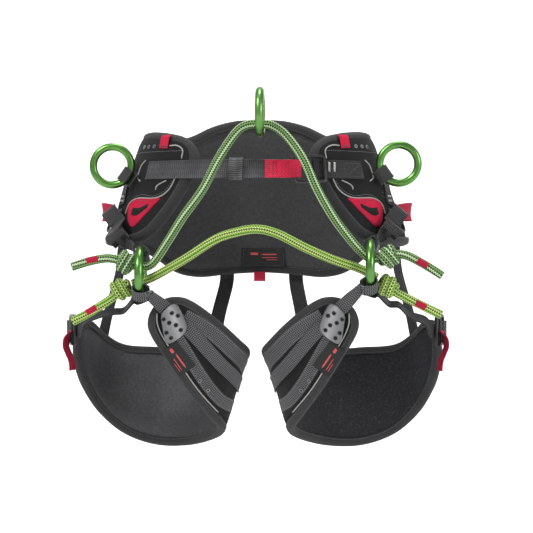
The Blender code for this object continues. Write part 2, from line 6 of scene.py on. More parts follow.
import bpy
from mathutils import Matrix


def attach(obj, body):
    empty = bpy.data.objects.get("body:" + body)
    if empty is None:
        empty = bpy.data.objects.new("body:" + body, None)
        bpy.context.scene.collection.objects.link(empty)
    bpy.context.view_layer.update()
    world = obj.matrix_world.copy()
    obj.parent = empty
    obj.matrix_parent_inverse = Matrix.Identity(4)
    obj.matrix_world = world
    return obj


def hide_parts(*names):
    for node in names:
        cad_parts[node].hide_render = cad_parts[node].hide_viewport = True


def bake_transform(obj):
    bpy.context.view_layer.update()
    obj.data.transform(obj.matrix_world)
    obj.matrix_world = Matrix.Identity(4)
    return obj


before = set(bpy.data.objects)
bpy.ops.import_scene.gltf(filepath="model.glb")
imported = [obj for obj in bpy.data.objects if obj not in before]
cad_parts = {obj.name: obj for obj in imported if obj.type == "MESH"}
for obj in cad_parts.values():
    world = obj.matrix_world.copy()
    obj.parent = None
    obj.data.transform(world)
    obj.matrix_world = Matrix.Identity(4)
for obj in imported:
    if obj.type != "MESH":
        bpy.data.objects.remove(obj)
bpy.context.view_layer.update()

import math  # noqa: E402

import bmesh  # noqa: E402
import bpy  # noqa: E402
import numpy as np  # noqa: E402
from mathutils import Matrix, Vector  # noqa: E402
from mathutils.bvhtree import BVHTree  # noqa: E402

MM = 0.001

# ---------------------------------------------------------------- sizes shared with the CAD model
WAIST_HALF_WIDTH = 154.0
WAIST_HALF_DEPTH = 115.0
FLARE_WIDTH = 0.345
FLARE_DEPTH = 0.25
PAD_THICKNESS = 12.0
PANEL_THICKNESS = 3.0
LEG_PAD_THICKNESS = 11.0
GAP = 0.3
TURN_STEPS = 10
BELT_WIDTH = 25.0
WEBBING = 2.2
PANEL_OUT = PAD_THICKNESS + 3 * GAP
ON_PANEL = PANEL_OUT + PANEL_THICKNESS + GAP
BELT_Z = -5.0
KEEPER_ANGLE = -172.6
LOOP_WIDTH = 18.0
LOOP_PLAY = 1.5

FRONT_ANGLE = 150.0
TOP_EDGE = [(0, 71), (15, 69), (28, 61), (42, 46), (60, 41), (90, 46), (120, 45), (135, 41), (143, 36),
            (148, 27), (150, 18)]
BOTTOM_EDGE = [(0, -138), (15, -141), (28, -145), (40, -138), (50, -122), (62, -109), (90, -103),
               (120, -102), (150, -98)]
FRONT_EDGE = [(-104, 132), (-98, 133.7), (-79, 139), (-53, 145), (-25, 149.5), (0, 153), (18, 152),
              (41, 148)]
PATCH_TOP = [(117, -48), (120, -44), (130, -42.5), (138.5, -42)]
PATCH_BOTTOM = [(117, -54), (121, -72), (125.5, -79), (132, -63), (138.5, -43)]

HIP_RING_RADIUS = 31.0
HIP_RING_TUBE = 6.5
SIDE_RING_RADIUS = 25.2
SIDE_RING_TUBE = 5.2
BRIDGE_RING_RADIUS = 27.2
BRIDGE_RING_TUBE = 5.75
HIP_RING = {"L": (-146.0, -130.0, -141.0), "R": (151.5, -130.0, -132.0)}
SIDE_RING = {"L": (-190.0, -60.0, 2.0), "R": (190.0, -60.0, 4.0)}
SIDE_LOOP_ANGLE = 35.0

ROPE = 11.5
BRIDGE_TOP = (10.0, -160.0, 51.0)
UPPER_ROUTE = [(-153, -134, -128), (-141, -137, -132), (-128, -140, -126), (-109, -144, -98),
               (-90, -148, -68), (-64, -152, -32), (-43, -155, 8), (-21, -158, 40), (-6, -159.5, 50.2),
               (10, -160, 51), (25, -159.5, 49.5), (43, -158, 37), (65, -155, 7), (83, -152, -32),
               (104, -148, -68), (126, -144, -97), (142, -141, -114), (151, -138, -121), (162, -136, -121)]
LOWER_ROUTE = [(-157, -126, -154), (-146, -127, -150), (-133, -133, -147), (-108, -146, -134),
               (-82, -158, -119), (-47, -170, -97), (-20, -177, -88), (7, -180, -84), (33, -178, -90),
               (69, -169, -108), (104, -155, -123), (137, -138, -134), (151, -132, -141),
               (160, -133, -146)]
KNOTS = {
    "upper_L": ((-164.5, -135, -127), (10, 14, 18), [(-175, -136, -123), (-190, -137, -121),
                                                   (-212, -138, -125), (-234, -138, -132)]),
    "lower_L": ((-171.5, -128, -161), (14, 13, 15), [(-183, -128, -172), (-196, -127, -181),
                                                   (-216, -126, -193), (-235, -126, -203)]),
    "upper_R": ((174.5, -136, -120), (10, 14, 16), [(185, -134, -116), (200, -135, -118),
                                                  (223, -136, -130), (244, -136, -143)]),
    "lower_R": ((174.5, -133, -157), (13, 12, 16), [(186, -132, -166), (200, -130, -173),
                                                  (222, -126, -184), (243, -126, -194)]),
}
LEG_ROWS = [
    ((-117.5, -125, -165), (-139.5, -128, -182)),
    ((-83, -120, -176), (-135, -122, -214)),
    ((-51, -105, -199), (-116.5, -107, -247)),
    ((-24, -75, -226), (-92, -82, -288)),
    ((-16, -40, -239), (-67, -57, -325)),
    ((-28, 15, -248), (-53, -25, -352)),
    ((-68, 56, -249), (-88, 24, -370)),
    ((-104, 70, -247), (-128, 48, -375)),
    ((-140, 74, -244), (-160, 56, -370)),
    ((-182, 64, -241), (-188, 55, -357)),
    ((-206, 42, -226), (-212, 44, -334)),
    ((-221, 12, -208), (-229, 24, -305)),
    ((-231, -8, -206), (-238, 2, -275)),
    ((-238, -20, -213), (-241.5, -14, -246)),
]
LEG_BUCKLE = (-244.0, -46.0, -216.0)
SIDES = (("L", -1), ("R", 1))


# ---------------------------------------------------------------- curves and surfaces of the body
def hermite(points, x):
    """Smooth curve through (x, y) points."""
    xs = np.array([p[0] for p in points], float)
    ys = np.array([p[1] for p in points], float)
    slopes = np.gradient(ys, xs)
    i = int(np.clip(np.searchsorted(xs, x) - 1, 0, len(xs) - 2))
    span = xs[i + 1] - xs[i]
    t = min(1.0, max(0.0, (x - xs[i]) / span))
    return ((2 * t**3 - 3 * t**2 + 1) * ys[i] + (t**3 - 2 * t**2 + t) * span * slopes[i]
            + (3 * t**2 - 2 * t**3) * ys[i + 1] + (t**3 - t**2) * span * slopes[i + 1])


def smooth_route(points, steps):
    """Points of a Catmull-Rom curve through a route, evenly spaced along its length. Columns
    after the third, such as a direction across, are carried along."""
    p = np.array(points, float)
    p = np.vstack([2 * p[0] - p[1], p, 2 * p[-1] - p[-2]])
    fine = []
    for i in range(1, len(p) - 2):
        for t in np.linspace(0, 1, 24, endpoint=False):
            fine.append(0.5 * (2 * p[i] + (p[i + 1] - p[i - 1]) * t
                               + (2 * p[i - 1] - 5 * p[i] + 4 * p[i + 1] - p[i + 2]) * t**2
                               + (3 * p[i] - p[i - 1] - 3 * p[i + 1] + p[i + 2]) * t**3))
    fine = np.array(fine + [p[-2]])
    run = lengths_along(fine[:, :3])
    marks = np.linspace(0, run[-1], steps)
    return np.stack([np.interp(marks, run, fine[:, k]) for k in range(fine.shape[1])], axis=1)


def lengths_along(points):
    return np.concatenate([[0], np.cumsum(np.linalg.norm(np.diff(points, axis=0), axis=1))])


def unit(v):
    v = np.array(v, float)
    return v / np.linalg.norm(v)


def unit_rows(v):
    return v / np.maximum(np.linalg.norm(v, axis=-1, keepdims=True), 1e-9)


def soft_step(x):
    x = np.clip(x, 0, 1)
    return x * x * (3 - 2 * x)


def waist_point(angle, z, out):
    """A point on the body's waist, out millimetres outside it; angle 0 is the back."""
    turn = math.radians(angle)
    return np.array([(WAIST_HALF_WIDTH - FLARE_WIDTH * z + out) * math.sin(turn),
                     (WAIST_HALF_DEPTH - FLARE_DEPTH * z + out) * math.cos(turn), z])


def waist_normal(angle, z, out):
    turn = math.radians(angle)
    width = WAIST_HALF_WIDTH - FLARE_WIDTH * z + out
    depth = WAIST_HALF_DEPTH - FLARE_DEPTH * z + out
    rise = FLARE_WIDTH * math.sin(turn)**2 / width + FLARE_DEPTH * math.cos(turn)**2 / depth
    return unit((math.sin(turn) / width, math.cos(turn) / depth, rise))


def waist_along(angle, z):
    return unit(waist_point(angle + 1, z, 0) - waist_point(angle - 1, z, 0))


def pad_point(u, v, out):
    """u runs from -1, the left wing's front edge, to 1; v from the bottom edge to the top."""
    nominal = FRONT_ANGLE * abs(u)
    z = (1 - v) * hermite(BOTTOM_EDGE, nominal) + v * hermite(TOP_EDGE, nominal)
    return waist_point(u * hermite(FRONT_EDGE, z), z, out)


def catmull(rows, s):
    """The point at place s of a smooth curve through rows, which are one apart."""
    i = int(min(max(math.floor(s), 0), len(rows) - 2))
    p1, p2 = rows[i], rows[i + 1]
    p0 = rows[i - 1] if i else 2 * p1 - p2
    p3 = rows[i + 2] if i + 2 < len(rows) else 2 * p2 - p1
    t = s - i
    return 0.5 * (2 * p1 + (p2 - p0) * t + (2 * p0 - 5 * p1 + 4 * p2 - p3) * t**2
                  + (3 * p1 - p0 - 3 * p2 + p3) * t**3)


LEG_TOP = np.array([row[0] for row in LEG_ROWS], float)
LEG_BOTTOM = np.array([row[1] for row in LEG_ROWS], float)
LEG_MIDDLE = (LEG_TOP + LEG_BOTTOM).mean(axis=0) / 2


def leg_point(s, t, out, sign=-1):
    """A point of the leg pad: s goes round from the hip ring, t from top edge to bottom edge."""
    def flat(s, t):
        return catmull(LEG_TOP, s) * (1 - t) + catmull(LEG_BOTTOM, s) * t

    step = 0.02
    ps = flat(s + step, t) - flat(s - step, t)
    pt = flat(s, t + step) - flat(s, t - step)
    n = unit(np.cross(ps, pt))
    p = flat(s, t)
    if np.dot(n, p - LEG_MIDDLE) < 0:
        n = -n
    p = p + n * out
    return np.array([-sign * p[0], p[1], p[2]])


def leg_across(s, t, sign):
    return leg_point(s, t + 0.05, 0, sign) - leg_point(s, t - 0.05, 0, sign)


def surface_strap(spots, out, steps):
    """Stations of a strap lying on the waist, from (angle, height) spots."""
    fine = smooth_route([(a, z, 0) for a, z in spots], steps)
    points = np.array([waist_point(a, z, out) for a, z, _ in fine])
    tangents = np.gradient(points, axis=0)
    return [(p, np.cross(waist_normal(a, z, out), unit(t))) for (a, z, _), p, t in zip(fine, points, tangents)]


def loop_round(tube, away, across, radius, length, from_point=None):
    """A strap's teardrop turn round a tube: away points from the tube to the strap's run, and
    the turn starts on the side of from_point."""
    w = unit(across)
    d = unit(np.array(away, float) - w * np.dot(away, w))
    n = np.cross(w, d)
    if from_point is not None and np.dot(n, from_point - tube) < 0:
        n = -n
    near = WEBBING / 2 + GAP
    middle = near + (radius - near) * 0.55
    points = [tube + d * length + n * near, tube + d * (radius + length) * 0.5 + n * middle]
    for k in range(TURN_STEPS + 1):
        turn = math.radians(-15 + k * 210 / TURN_STEPS)
        points.append(tube + radius * (n * math.cos(turn) - d * math.sin(turn)))
    points.append(tube + d * (radius + length) * 0.5 - n * middle)
    return [(p, w) for p in points]


def looped_run(run, tube, away, across, tube_radius, length):
    """Stations of a strap that comes along run, goes round a tube and ends beside itself."""
    if np.dot(run[-1][1], across) < 0:
        across = -np.array(across, float)
    return run + loop_round(np.array(tube, float), away, across, tube_radius + LOOP_PLAY + WEBBING / 2,
                            length, run[-1][0])


# ---------------------------------------------------------------- materials
def add_node(tree, kind, inputs=None, **settings):
    node = tree.nodes.new("ShaderNode" + kind)
    for key, value in settings.items():
        setattr(node, key, value)
    for key, value in (inputs or {}).items():
        if isinstance(value, bpy.types.NodeSocket):
            tree.links.new(value, node.inputs[key])
        else:
            node.inputs[key].default_value = value
    return node


SOCKETS = {"sheen_weight": "Sheen Weight", "sheen_roughness": "Sheen Roughness", "coat_weight": "Coat Weight",
           "coat_roughness": "Coat Roughness", "specular_ior_level": "Specular IOR Level"}


class Look:
    """A procedural material under construction. Numbers and sockets mix freely in its sums."""

    def __init__(self, name, roughness, metallic=0.0, **fixed):
        self.material = bpy.data.materials.new(name)
        self.material.use_nodes = True
        self.tree = self.material.node_tree
        self.shader = self.tree.nodes["Principled BSDF"]
        self.set("Roughness", roughness)
        self.set("Metallic", metallic)
        for key, value in fixed.items():
            self.shader.inputs[SOCKETS[key]].default_value = value

    def set(self, socket, value):
        if isinstance(value, bpy.types.NodeSocket):
            self.tree.links.new(value, self.shader.inputs[socket])
        else:
            self.shader.inputs[socket].default_value = value

    def sum(self, operation, a, b=0.0, c=0.0):
        return add_node(self.tree, "Math", {0: a, 1: b, 2: c}, operation=operation).outputs[0]

    def place(self):
        """Place on the piece at rest, in metres."""
        return add_node(self.tree, "TexCoord").outputs["Object"]

    def uv(self):
        split = add_node(self.tree, "SeparateXYZ", {0: add_node(self.tree, "UVMap", uv_map="flat").outputs[0]})
        return split.outputs[0], split.outputs[1]

    def noise(self, scale, detail=3.0, where=None, roughness=0.55):
        return add_node(self.tree, "TexNoise", {"Vector": where or self.place(), "Scale": scale,
                                                "Detail": detail, "Roughness": roughness}).outputs["Fac"]

    def wave(self, x, pitch):
        """0 to 1 and back, once each pitch."""
        turned = self.sum("MULTIPLY", x, 2 * math.pi / pitch)
        return self.sum("MULTIPLY_ADD", self.sum("SINE", turned), 0.5, 0.5)

    def spread(self, x, low, high, to_low=0.0, to_high=1.0):
        return add_node(self.tree, "MapRange", {0: x, 1: low, 2: high, 3: to_low, 4: to_high}).outputs[0]

    def colours(self, x, stops, steps=False):
        ramp = add_node(self.tree, "ValToRGB", {0: x})
        ramp.color_ramp.interpolation = "CONSTANT" if steps else "LINEAR"
        points = ramp.color_ramp.elements
        while len(points) < len(stops):
            points.new(0.5)
        for point, (at, colour) in zip(points, stops):
            point.position = at
            point.color = (*colour, 1.0)
        return ramp.outputs[0]

    def mix(self, share, a, b):
        node = add_node(self.tree, "Mix", data_type="RGBA")
        for socket, value in ((0, share), (6, a), (7, b)):
            if isinstance(value, bpy.types.NodeSocket):
                self.tree.links.new(value, node.inputs[socket])
            else:
                node.inputs[socket].default_value = value if socket == 0 else (*value, 1.0)
        return node.outputs[2]

    def bump(self, height, distance, strength=1.0):
        """Relief of a height from 0 to 1, distance millimetres deep."""
        made = add_node(self.tree, "Bump", {"Height": height, "Distance": distance * MM, "Strength": strength})
        self.set("Normal", made.outputs[0])


def shade(colour, factor):
    return tuple(min(1.0, c * factor) for c in colour)


def webbing_look(name, colour, rib=1.3, column=3.1, depth=0.30, roughness=0.72, sheen=0.06, lean_by=0.45,
                 relief_shade_share=0.62):
    """Flat woven strap: ribs across its length, in columns that lean alternately, with painted shade in the grooves and
    a painted highlight on the ribs mixed into its colour.
    """
    look = Look(name, roughness, sheen_weight=sheen, sheen_roughness=0.5, specular_ior_level=0.3)
    u, v = look.uv()
    lean = look.sum("PINGPONG", v, column * MM)
    ribs = look.wave(look.sum("ADD", u, look.sum("MULTIPLY", lean, lean_by)), rib * MM)
    columns = look.wave(v, column * MM)
    relief = look.sum("MULTIPLY", ribs, look.spread(columns, 0, 1, 0.65, 1))
    fluff = look.noise(520, 2)
    patchy = look.noise(38, 3)
    tone = look.sum("ADD", look.sum("MULTIPLY", relief, relief_shade_share), look.sum("MULTIPLY", patchy, 1 - relief_shade_share))
    # Painted shade and highlight: the weave's relief darkens the grooves and lightens the ribs, beside random uneven
    # tone.
    base = look.colours(tone, [(0.15, shade(colour, 0.2)), (0.5, colour), (0.85, shade(colour, 2.3))])
    look.set("Base Color", base)
    look.set("Roughness", look.spread(patchy, 0.3, 0.7, roughness - 0.1, roughness + 0.1))
    look.bump(look.sum("ADD", relief, look.sum("MULTIPLY", fluff, 0.25)), depth)
    return look.material


def cloth_look(name, colour, pitch=1.1, depth=0.2, roughness=0.8, sheen=0.04, patch=0.25):
    """Plain weave cloth on a piece with UVs in metres, worn a little unevenly, its colour lighter where the weave
    stands high and darker where it sinks as painted highlight and shade.
    """
    look = Look(name, roughness, sheen_weight=sheen, sheen_roughness=0.45, specular_ior_level=0.25)
    u, v = look.uv()
    along, across = look.wave(u, pitch * MM), look.wave(v, pitch * MM)
    weave = look.sum("ABSOLUTE", look.sum("SUBTRACT", along, across))
    worn = look.noise(24, 4)
    tone = look.sum("ADD", look.sum("MULTIPLY", weave, 0.4), look.spread(worn, 0.3, 0.7, 0.1, 0.1 + patch))
    # Painted shade and highlight: the weave's relief sets part of the colour, beside the random uneven wear.
    look.set("Base Color", look.colours(tone, [(0.1, shade(colour, 0.7)), (0.7, shade(colour, 1.6))]))
    look.set("Roughness", look.spread(worn, 0.3, 0.7, roughness - 0.08, roughness + 0.08))
    look.bump(look.sum("ADD", weave, look.sum("MULTIPLY", look.noise(300, 2), 0.4)), depth)
    return look.material


def lining_look(name, colour, grain, flecks, depth, sheen=0.08, roughness=0.62):
    """Pad lining: a close knit with a soft sheen; flecks is the share of light fibres."""
    look = Look(name, roughness, sheen_weight=sheen, sheen_roughness=0.4, specular_ior_level=0.35)
    knit = add_node(look.tree, "TexVoronoi", {"Vector": look.place(), "Scale": grain}).outputs["Distance"]
    worn = look.noise(16, 4)
    fibre = look.noise(grain * 0.9, 3)
    light = look.spread(fibre, 0.62 - flecks * 0.12, 0.8, 0, 1)
    mottle = look.noise(340, 2)
    tone = look.sum("ADD", look.sum("MULTIPLY", worn, 0.5), look.sum("MULTIPLY", mottle, 0.5))
    base = look.colours(tone, [(0.33, shade(colour, 0.65)), (0.67, shade(colour, 1.4))])
    look.set("Base Color", look.mix(look.sum("MULTIPLY", light, flecks), base, shade(colour, 5)))
    look.set("Roughness", look.spread(worn, 0.3, 0.7, roughness - 0.1, roughness + 0.1))
    look.bump(look.sum("ADD", knit, look.sum("MULTIPLY", fibre, 0.6)), depth)
    return look.material


def metal_look(name, colour, light, roughness, metallic=1.0, wear=0.0):
    """Anodised or coated metal with fine marks, and bare metal at worn edges."""
    look = Look(name, roughness, metallic, coat_weight=0.15, coat_roughness=0.12)
    cloudy = look.noise(60, 4)
    marks = look.noise(900, 2)
    base = look.colours(cloudy, [(0.3, colour), (0.75, light)])
    if wear:
        edges = add_node(look.tree, "NewGeometry").outputs["Pointiness"]
        share = look.sum("MULTIPLY", look.spread(edges, 0.52, 0.6), look.spread(cloudy, 0.4, 0.6))
        base = look.mix(look.sum("MULTIPLY", share, wear), base, (0.12, 0.12, 0.125))
    look.set("Base Color", base)
    look.set("Roughness", look.spread(cloudy, 0.3, 0.7, roughness - 0.05, roughness + 0.08))
    look.bump(marks, 0.03, 0.6)
    return look.material


PLATE_ACROSS = 44.0


def moulded_look(name, colour, roughness):
    """Moulded rubbery plastic with a fine leather-like grain, with a painted highlight along its crown and painted
    shade towards its edges.
    """
    look = Look(name, roughness, coat_weight=0.35, coat_roughness=0.2)
    grain = add_node(look.tree, "TexVoronoi", {"Vector": look.place(), "Scale": 900}).outputs["Distance"]
    cloudy = look.noise(45, 4)
    crown = look.spread(look.uv()[1], 0.0, PLATE_ACROSS * MM)
    # Painted highlight and shade: the colour is dark at the plate's edges and bright near its crown.
    painted_highlight = look.colours(crown, [(0.0, shade(colour, 0.3)), (0.30, shade(colour, 2.6)), (0.52, shade(colour, 1.3)),
                                  (1.0, shade(colour, 0.35))])
    look.set("Base Color", look.mix(look.spread(cloudy, 0.3, 0.7, 0.0, 0.45), painted_highlight, colour))
    look.set("Roughness", look.spread(cloudy, 0.3, 0.7, roughness - 0.06, roughness + 0.1))
    look.bump(look.sum("ADD", grain, cloudy), 0.12)
    return look.material


def thread_look(name, colour):
    look = Look(name, 0.6, sheen_weight=0.3)
    twist = look.noise(1400, 2)
    look.set("Base Color", look.colours(twist, [(0.3, shade(colour, 0.6)), (0.7, shade(colour, 1.25))]))
    look.bump(twist, 0.1)
    return look.material


ROPE_STRANDS = 12  # strands in each of the braid's two directions
ROPE_LAY = 38.0  # length in which a strand goes once round
LAY_ROWS = 2 * ROPE_STRANDS


def rope_look(name, rows, fleck):
    """Braided sheath on a tube whose UV is length in metres and share of a turn. rows gives the
    colours of the rows of crossings round the rope."""
    look = Look(name, 0.62, sheen_weight=0.08, sheen_roughness=0.4, specular_ior_level=0.3)
    u, v = look.uv()
    lay = look.sum("MULTIPLY", u, ROPE_STRANDS / (ROPE_LAY * MM))
    turn = look.sum("MULTIPLY", v, ROPE_STRANDS)
    one, other = look.sum("ADD", turn, lay), look.sum("SUBTRACT", turn, lay)
    row = look.sum("ADD", look.sum("FLOOR", one), look.sum("FLOOR", other))
    row = look.sum("DIVIDE", look.sum("FLOORED_MODULO", row, LAY_ROWS), LAY_ROWS)
    stops = [(k / LAY_ROWS, rows[k % len(rows)]) for k in range(LAY_ROWS)]
    base = look.colours(look.sum("ADD", row, 0.25 / LAY_ROWS), stops, steps=True)
    across = [look.sum("SINE", look.sum("MULTIPLY", look.sum("FRACT", x), math.pi)) for x in (one, other)]
    crown = look.sum("SQRT", look.sum("MULTIPLY", *across))
    yarn = look.wave(look.sum("ADD", one, look.sum("MULTIPLY", other, 0.3)), 0.33)
    fuzz = look.noise(700, 3)
    # Painted shade: the hollows between the braid's crossings are darkened towards a near-black green.
    dark = look.mix(look.spread(crown, 0.1, 0.85, 0.92, 0.0), base, (0.003, 0.010, 0.004))
    look.set("Base Color", look.mix(look.spread(fuzz, 0.6, 0.8, 0, 0.3), dark, fleck))
    look.bump(look.sum("ADD", crown, look.sum("MULTIPLY", look.sum("ADD", yarn, fuzz), 0.18)), 0.35)
    return look.material


DARK_GREEN = (0.004, 0.032, 0.014)
MINT = (0.20, 0.38, 0.10)
PALE_MINT = (0.62, 0.82, 0.46)
PALE_LIME = (0.38, 0.68, 0.10)
YELLOW = (0.74, 0.84, 0.27)
FERN = (0.055, 0.21, 0.02)
MOSS = (0.012, 0.07, 0.012)

GREEN_METAL = metal_look("green_anodised", (0.100, 0.255, 0.055), (0.155, 0.35, 0.09), 0.31)
BLACK_METAL = metal_look("black_coated_metal", (0.009, 0.009, 0.010), (0.017, 0.017, 0.018), 0.36, 0.35, 0.5)
STEEL = metal_look("grey_eyelet_metal", (0.18, 0.18, 0.19), (0.34, 0.34, 0.35), 0.3)
BELT_WEB = webbing_look("belt_webbing", (0.050, 0.050, 0.053), 2.9, 8.3, 0.25, 0.7, 0.05, 0.12, 0.34)
HIP_WEB = webbing_look("hip_webbing", (0.025, 0.025, 0.026), 2.7, 3.4, 0.45, 0.5, 0.10, 0.3, 0.7)
KEEPER_WEB = webbing_look("keeper_webbing", (0.080, 0.080, 0.083), 2.9, 9.0, 0.25, 0.66, 0.05, 0.1, 0.36)
GREY_WEB = webbing_look("grey_webbing", (0.076, 0.076, 0.079), 2.9, 2.9, 0.5, 0.68, 0.05, 0.5, 0.85)
BLACK_WEB = webbing_look("black_webbing", (0.021, 0.021, 0.022), 2.7, 2.8, 0.45, 0.62, 0.05, 0.45, 0.8)
ELASTIC_WEB = webbing_look("elastic_webbing", (0.036, 0.036, 0.038), 1.9, 1.9, 0.3)
RED_WEB = webbing_look("red_webbing", (0.36, 0.002, 0.032), 1.8, 2.6, 0.25, 0.66, 0.0)
RED_BRIGHT = webbing_look("bright_red_webbing", (0.66, 0.012, 0.052), 1.8, 2.6, 0.25, 0.62, 0.0)
SHELL = cloth_look("hip_panel_cloth", (0.0065, 0.0065, 0.007), 1.5, 0.25)
SHELL_SMOOTH = cloth_look("smooth_panel_cloth", (0.0035, 0.0035, 0.004), 0.9, 0.12, 0.7)
BINDING = cloth_look("edge_binding", (0.030, 0.030, 0.031), 1.4, 0.3, 0.75, 0.08)
RED_CLOTH = cloth_look("red_patch_cloth", (0.52, 0.004, 0.042), 1.1, 0.18, 0.6, 0.0, 0.15)
LABEL = cloth_look("label_cloth", (0.020, 0.020, 0.021), 0.6, 0.1, 0.7)
LABEL_RED = thread_look("label_red_thread", (0.62, 0.06, 0.05))
LINING = lining_look("pad_lining", (0.036, 0.036, 0.038), 800, 0.14, 0.14, 0.10)
# Painted light: the left leg pad's lining is painted lighter than the waist pad's lining, standing in for light falling
# on the pad's hollow face.
LIT_LEG_LINING = lining_look("lit_leg_pad_lining", (0.046, 0.046, 0.049), 800, 0.10, 0.14, 0.12, 0.5)
FLEECE = lining_look("pad_fleece", (0.010, 0.0105, 0.012), 420, 0.75, 0.5, 0.15, 0.85)
PLATE = moulded_look("moulded_plate", (0.13, 0.132, 0.136), 0.22)
THREAD_DARK = thread_look("dark_thread", (0.055, 0.055, 0.058))
THREAD_GREY = thread_look("grey_thread", (0.20, 0.20, 0.21))
THREAD_WHITE = thread_look("white_thread", (0.62, 0.62, 0.60))
PIPING = thread_look("silver_piping", (0.36, 0.355, 0.34))
DARK_ROPE = rope_look("dark_green_rope", [MINT, MINT, DARK_GREEN, PALE_MINT, PALE_MINT, DARK_GREEN],
                      (0.26, 0.46, 0.18))
LIME_ROPE = rope_look("lime_rope", [PALE_LIME, YELLOW, MOSS, YELLOW, PALE_LIME, FERN], (0.60, 0.76, 0.30))


# ---------------------------------------------------------------- mesh building
def make_piece(name, vertices, faces, material, body="waist", uvs=None, replaces=(), slot=None, sharp=50,
               blend=None):
    """A piece of the visual model. uvs has a pair for each corner of each face, in order."""
    mesh = bpy.data.meshes.new(name)
    mesh.from_pydata((np.array(vertices, float) * MM).tolist(), [], [tuple(f) for f in faces])
    if uvs is not None:
        layer = mesh.uv_layers.new(name="flat")
        layer.data.foreach_set("uv", np.array(uvs, np.float32).ravel())
    work = bmesh.new()
    work.from_mesh(mesh)
    bmesh.ops.recalc_face_normals(work, faces=work.faces)
    work.to_mesh(mesh)
    work.free()
    mesh.materials.append(material)
    mesh.shade_smooth()
    if sharp:
        mesh.set_sharp_from_angle(angle=math.radians(sharp))
    obj = bpy.data.objects.new(name, mesh)
    bpy.context.scene.collection.objects.link(obj)
    return settle_piece(obj, body, replaces, slot, blend)


def settle_piece(obj, body, replaces=(), slot=None, blend=None):
    if blend:
        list(blend)
        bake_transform(obj)
    elif body:
        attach(obj, body)
    if replaces:
        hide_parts(*([replaces] if isinstance(replaces, str) else replaces))
    return obj


def swept(rings, wrap=True, loop=False, caps=True, turn_share=False, start=0.0):
    """Faces between rings of points, rings[i][j]. wrap closes each ring, loop joins the last
    ring to the first. The UVs are metres along and metres around, or share of a turn."""
    rings = np.array(rings, float)
    count, around = rings.shape[:2]
    centres = rings.mean(axis=1)
    u = (lengths_along(np.vstack([centres, centres[:1]])) + start) * MM
    ring = rings[count // 2]
    v = lengths_along(np.vstack([ring, ring[:1]]))
    v = v / v[-1] if turn_share else v * MM
    faces, uvs = [], []
    for i in range(count if loop else count - 1):
        k = (i + 1) % count
        for j in range(around if wrap else around - 1):
            m = (j + 1) % around
            faces.append((i * around + j, k * around + j, k * around + m, i * around + m))
            uvs += [(u[i], v[j]), (u[i + 1], v[j]), (u[i + 1], v[j + 1]), (u[i], v[j + 1])]
    if caps and not loop:
        for i in (0, count - 1):
            faces.append(tuple(i * around + j for j in range(around)))
            uvs += [(u[i], v[j]) for j in range(around)]
    return rings.reshape(-1, 3), faces, uvs


def merged(parts):
    """Several (vertices, faces, uvs) as one."""
    vertices, faces, uvs, base = [], [], [], 0
    for points, polygons, pairs in parts:
        vertices.append(np.array(points, float))
        faces += [tuple(base + k for k in f) for f in polygons]
        uvs += list(pairs)
        base += len(points)
    return np.vstack(vertices), faces, uvs


def turned_frames(points, twist=0.0):
    """Tangents and two directions across along a line, turning no more than it does."""
    tangents = unit_rows(np.gradient(points, axis=0))
    side = np.cross(tangents[0], (0, 0, 1) if abs(tangents[0][2]) < 0.9 else (0, 1, 0))
    firsts = []
    for t in tangents:
        side = unit(side - t * np.dot(side, t))
        firsts.append(side)
    firsts = np.array(firsts)
    seconds = np.cross(tangents, firsts)
    run = lengths_along(points)
    a = run * twist
    return (tangents, firsts * np.cos(a)[:, None] + seconds * np.sin(a)[:, None],
            seconds * np.cos(a)[:, None] - firsts * np.sin(a)[:, None])


def tube(points, radius, sides=12, closed=False, round_ends=True):
    """A round cord along points, as (vertices, faces, uvs)."""
    points = np.array(points, float)
    radii = np.full(len(points), float(radius))
    _, e1, e2 = turned_frames(points)
    if closed:
        total = e1[0]
        miss = math.atan2(np.dot(e1[-1], e2[0]), np.dot(e1[-1], total))
        a = -miss * np.linspace(0, 1, len(points))
        e1, e2 = (e1 * np.cos(a)[:, None] + e2 * np.sin(a)[:, None],
                  e2 * np.cos(a)[:, None] - e1 * np.sin(a)[:, None])
    elif round_ends:
        radii[[0, -1]] *= 0.55
    b = np.linspace(0, 2 * math.pi, sides, endpoint=False)
    rings = (points[:, None] + radii[:, None, None]
             * (e1[:, None] * np.cos(b)[None, :, None] + e2[:, None] * np.sin(b)[None, :, None]))
    return swept(rings, loop=closed, caps=not closed)


def strap(stations, width, thickness, steps=None, edge=0.35):
    """A woven strap along stations, each a point and the direction across it. Its edges are
    rounded and its selvedges stand a little proud."""
    stations = np.array([np.concatenate([p, unit(w)]) for p, w in stations], float)
    total = lengths_along(stations[:, :3])[-1]
    stations = smooth_route(stations, steps or max(6, int(total / 2.5)))
    tangents = unit_rows(np.gradient(stations[:, :3], axis=0))
    across = stations[:, 3:]
    across = unit_rows(across - tangents * (across * tangents).sum(axis=1, keepdims=True))
    normals = np.cross(tangents, across)
    half, h = width / 2, thickness / 2
    top = [(-half, 0.45 * h), (-half + 0.5, h), (-half + 1.6, h), (-half + 2.4, h * (1 - edge)),
           (-half * 0.33, h * (1 - edge)), (half * 0.33, h * (1 - edge)), (half - 2.4, h * (1 - edge)),
           (half - 1.6, h), (half - 0.5, h), (half, 0.45 * h)]
    profile = top + [(a, -b) for a, b in reversed(top)]
    rings = np.array([[p + w * a + n * b for a, b in profile] for p, w, n in zip(stations[:, :3], across, normals)])
    return swept(rings)


def strap_piece(name, stations, width, material, thickness=WEBBING, body="waist", steps=None, **more):
    vertices, faces, uvs = strap(stations, width, thickness, steps)
    return make_piece(name, vertices, faces, material, body, uvs, **more)


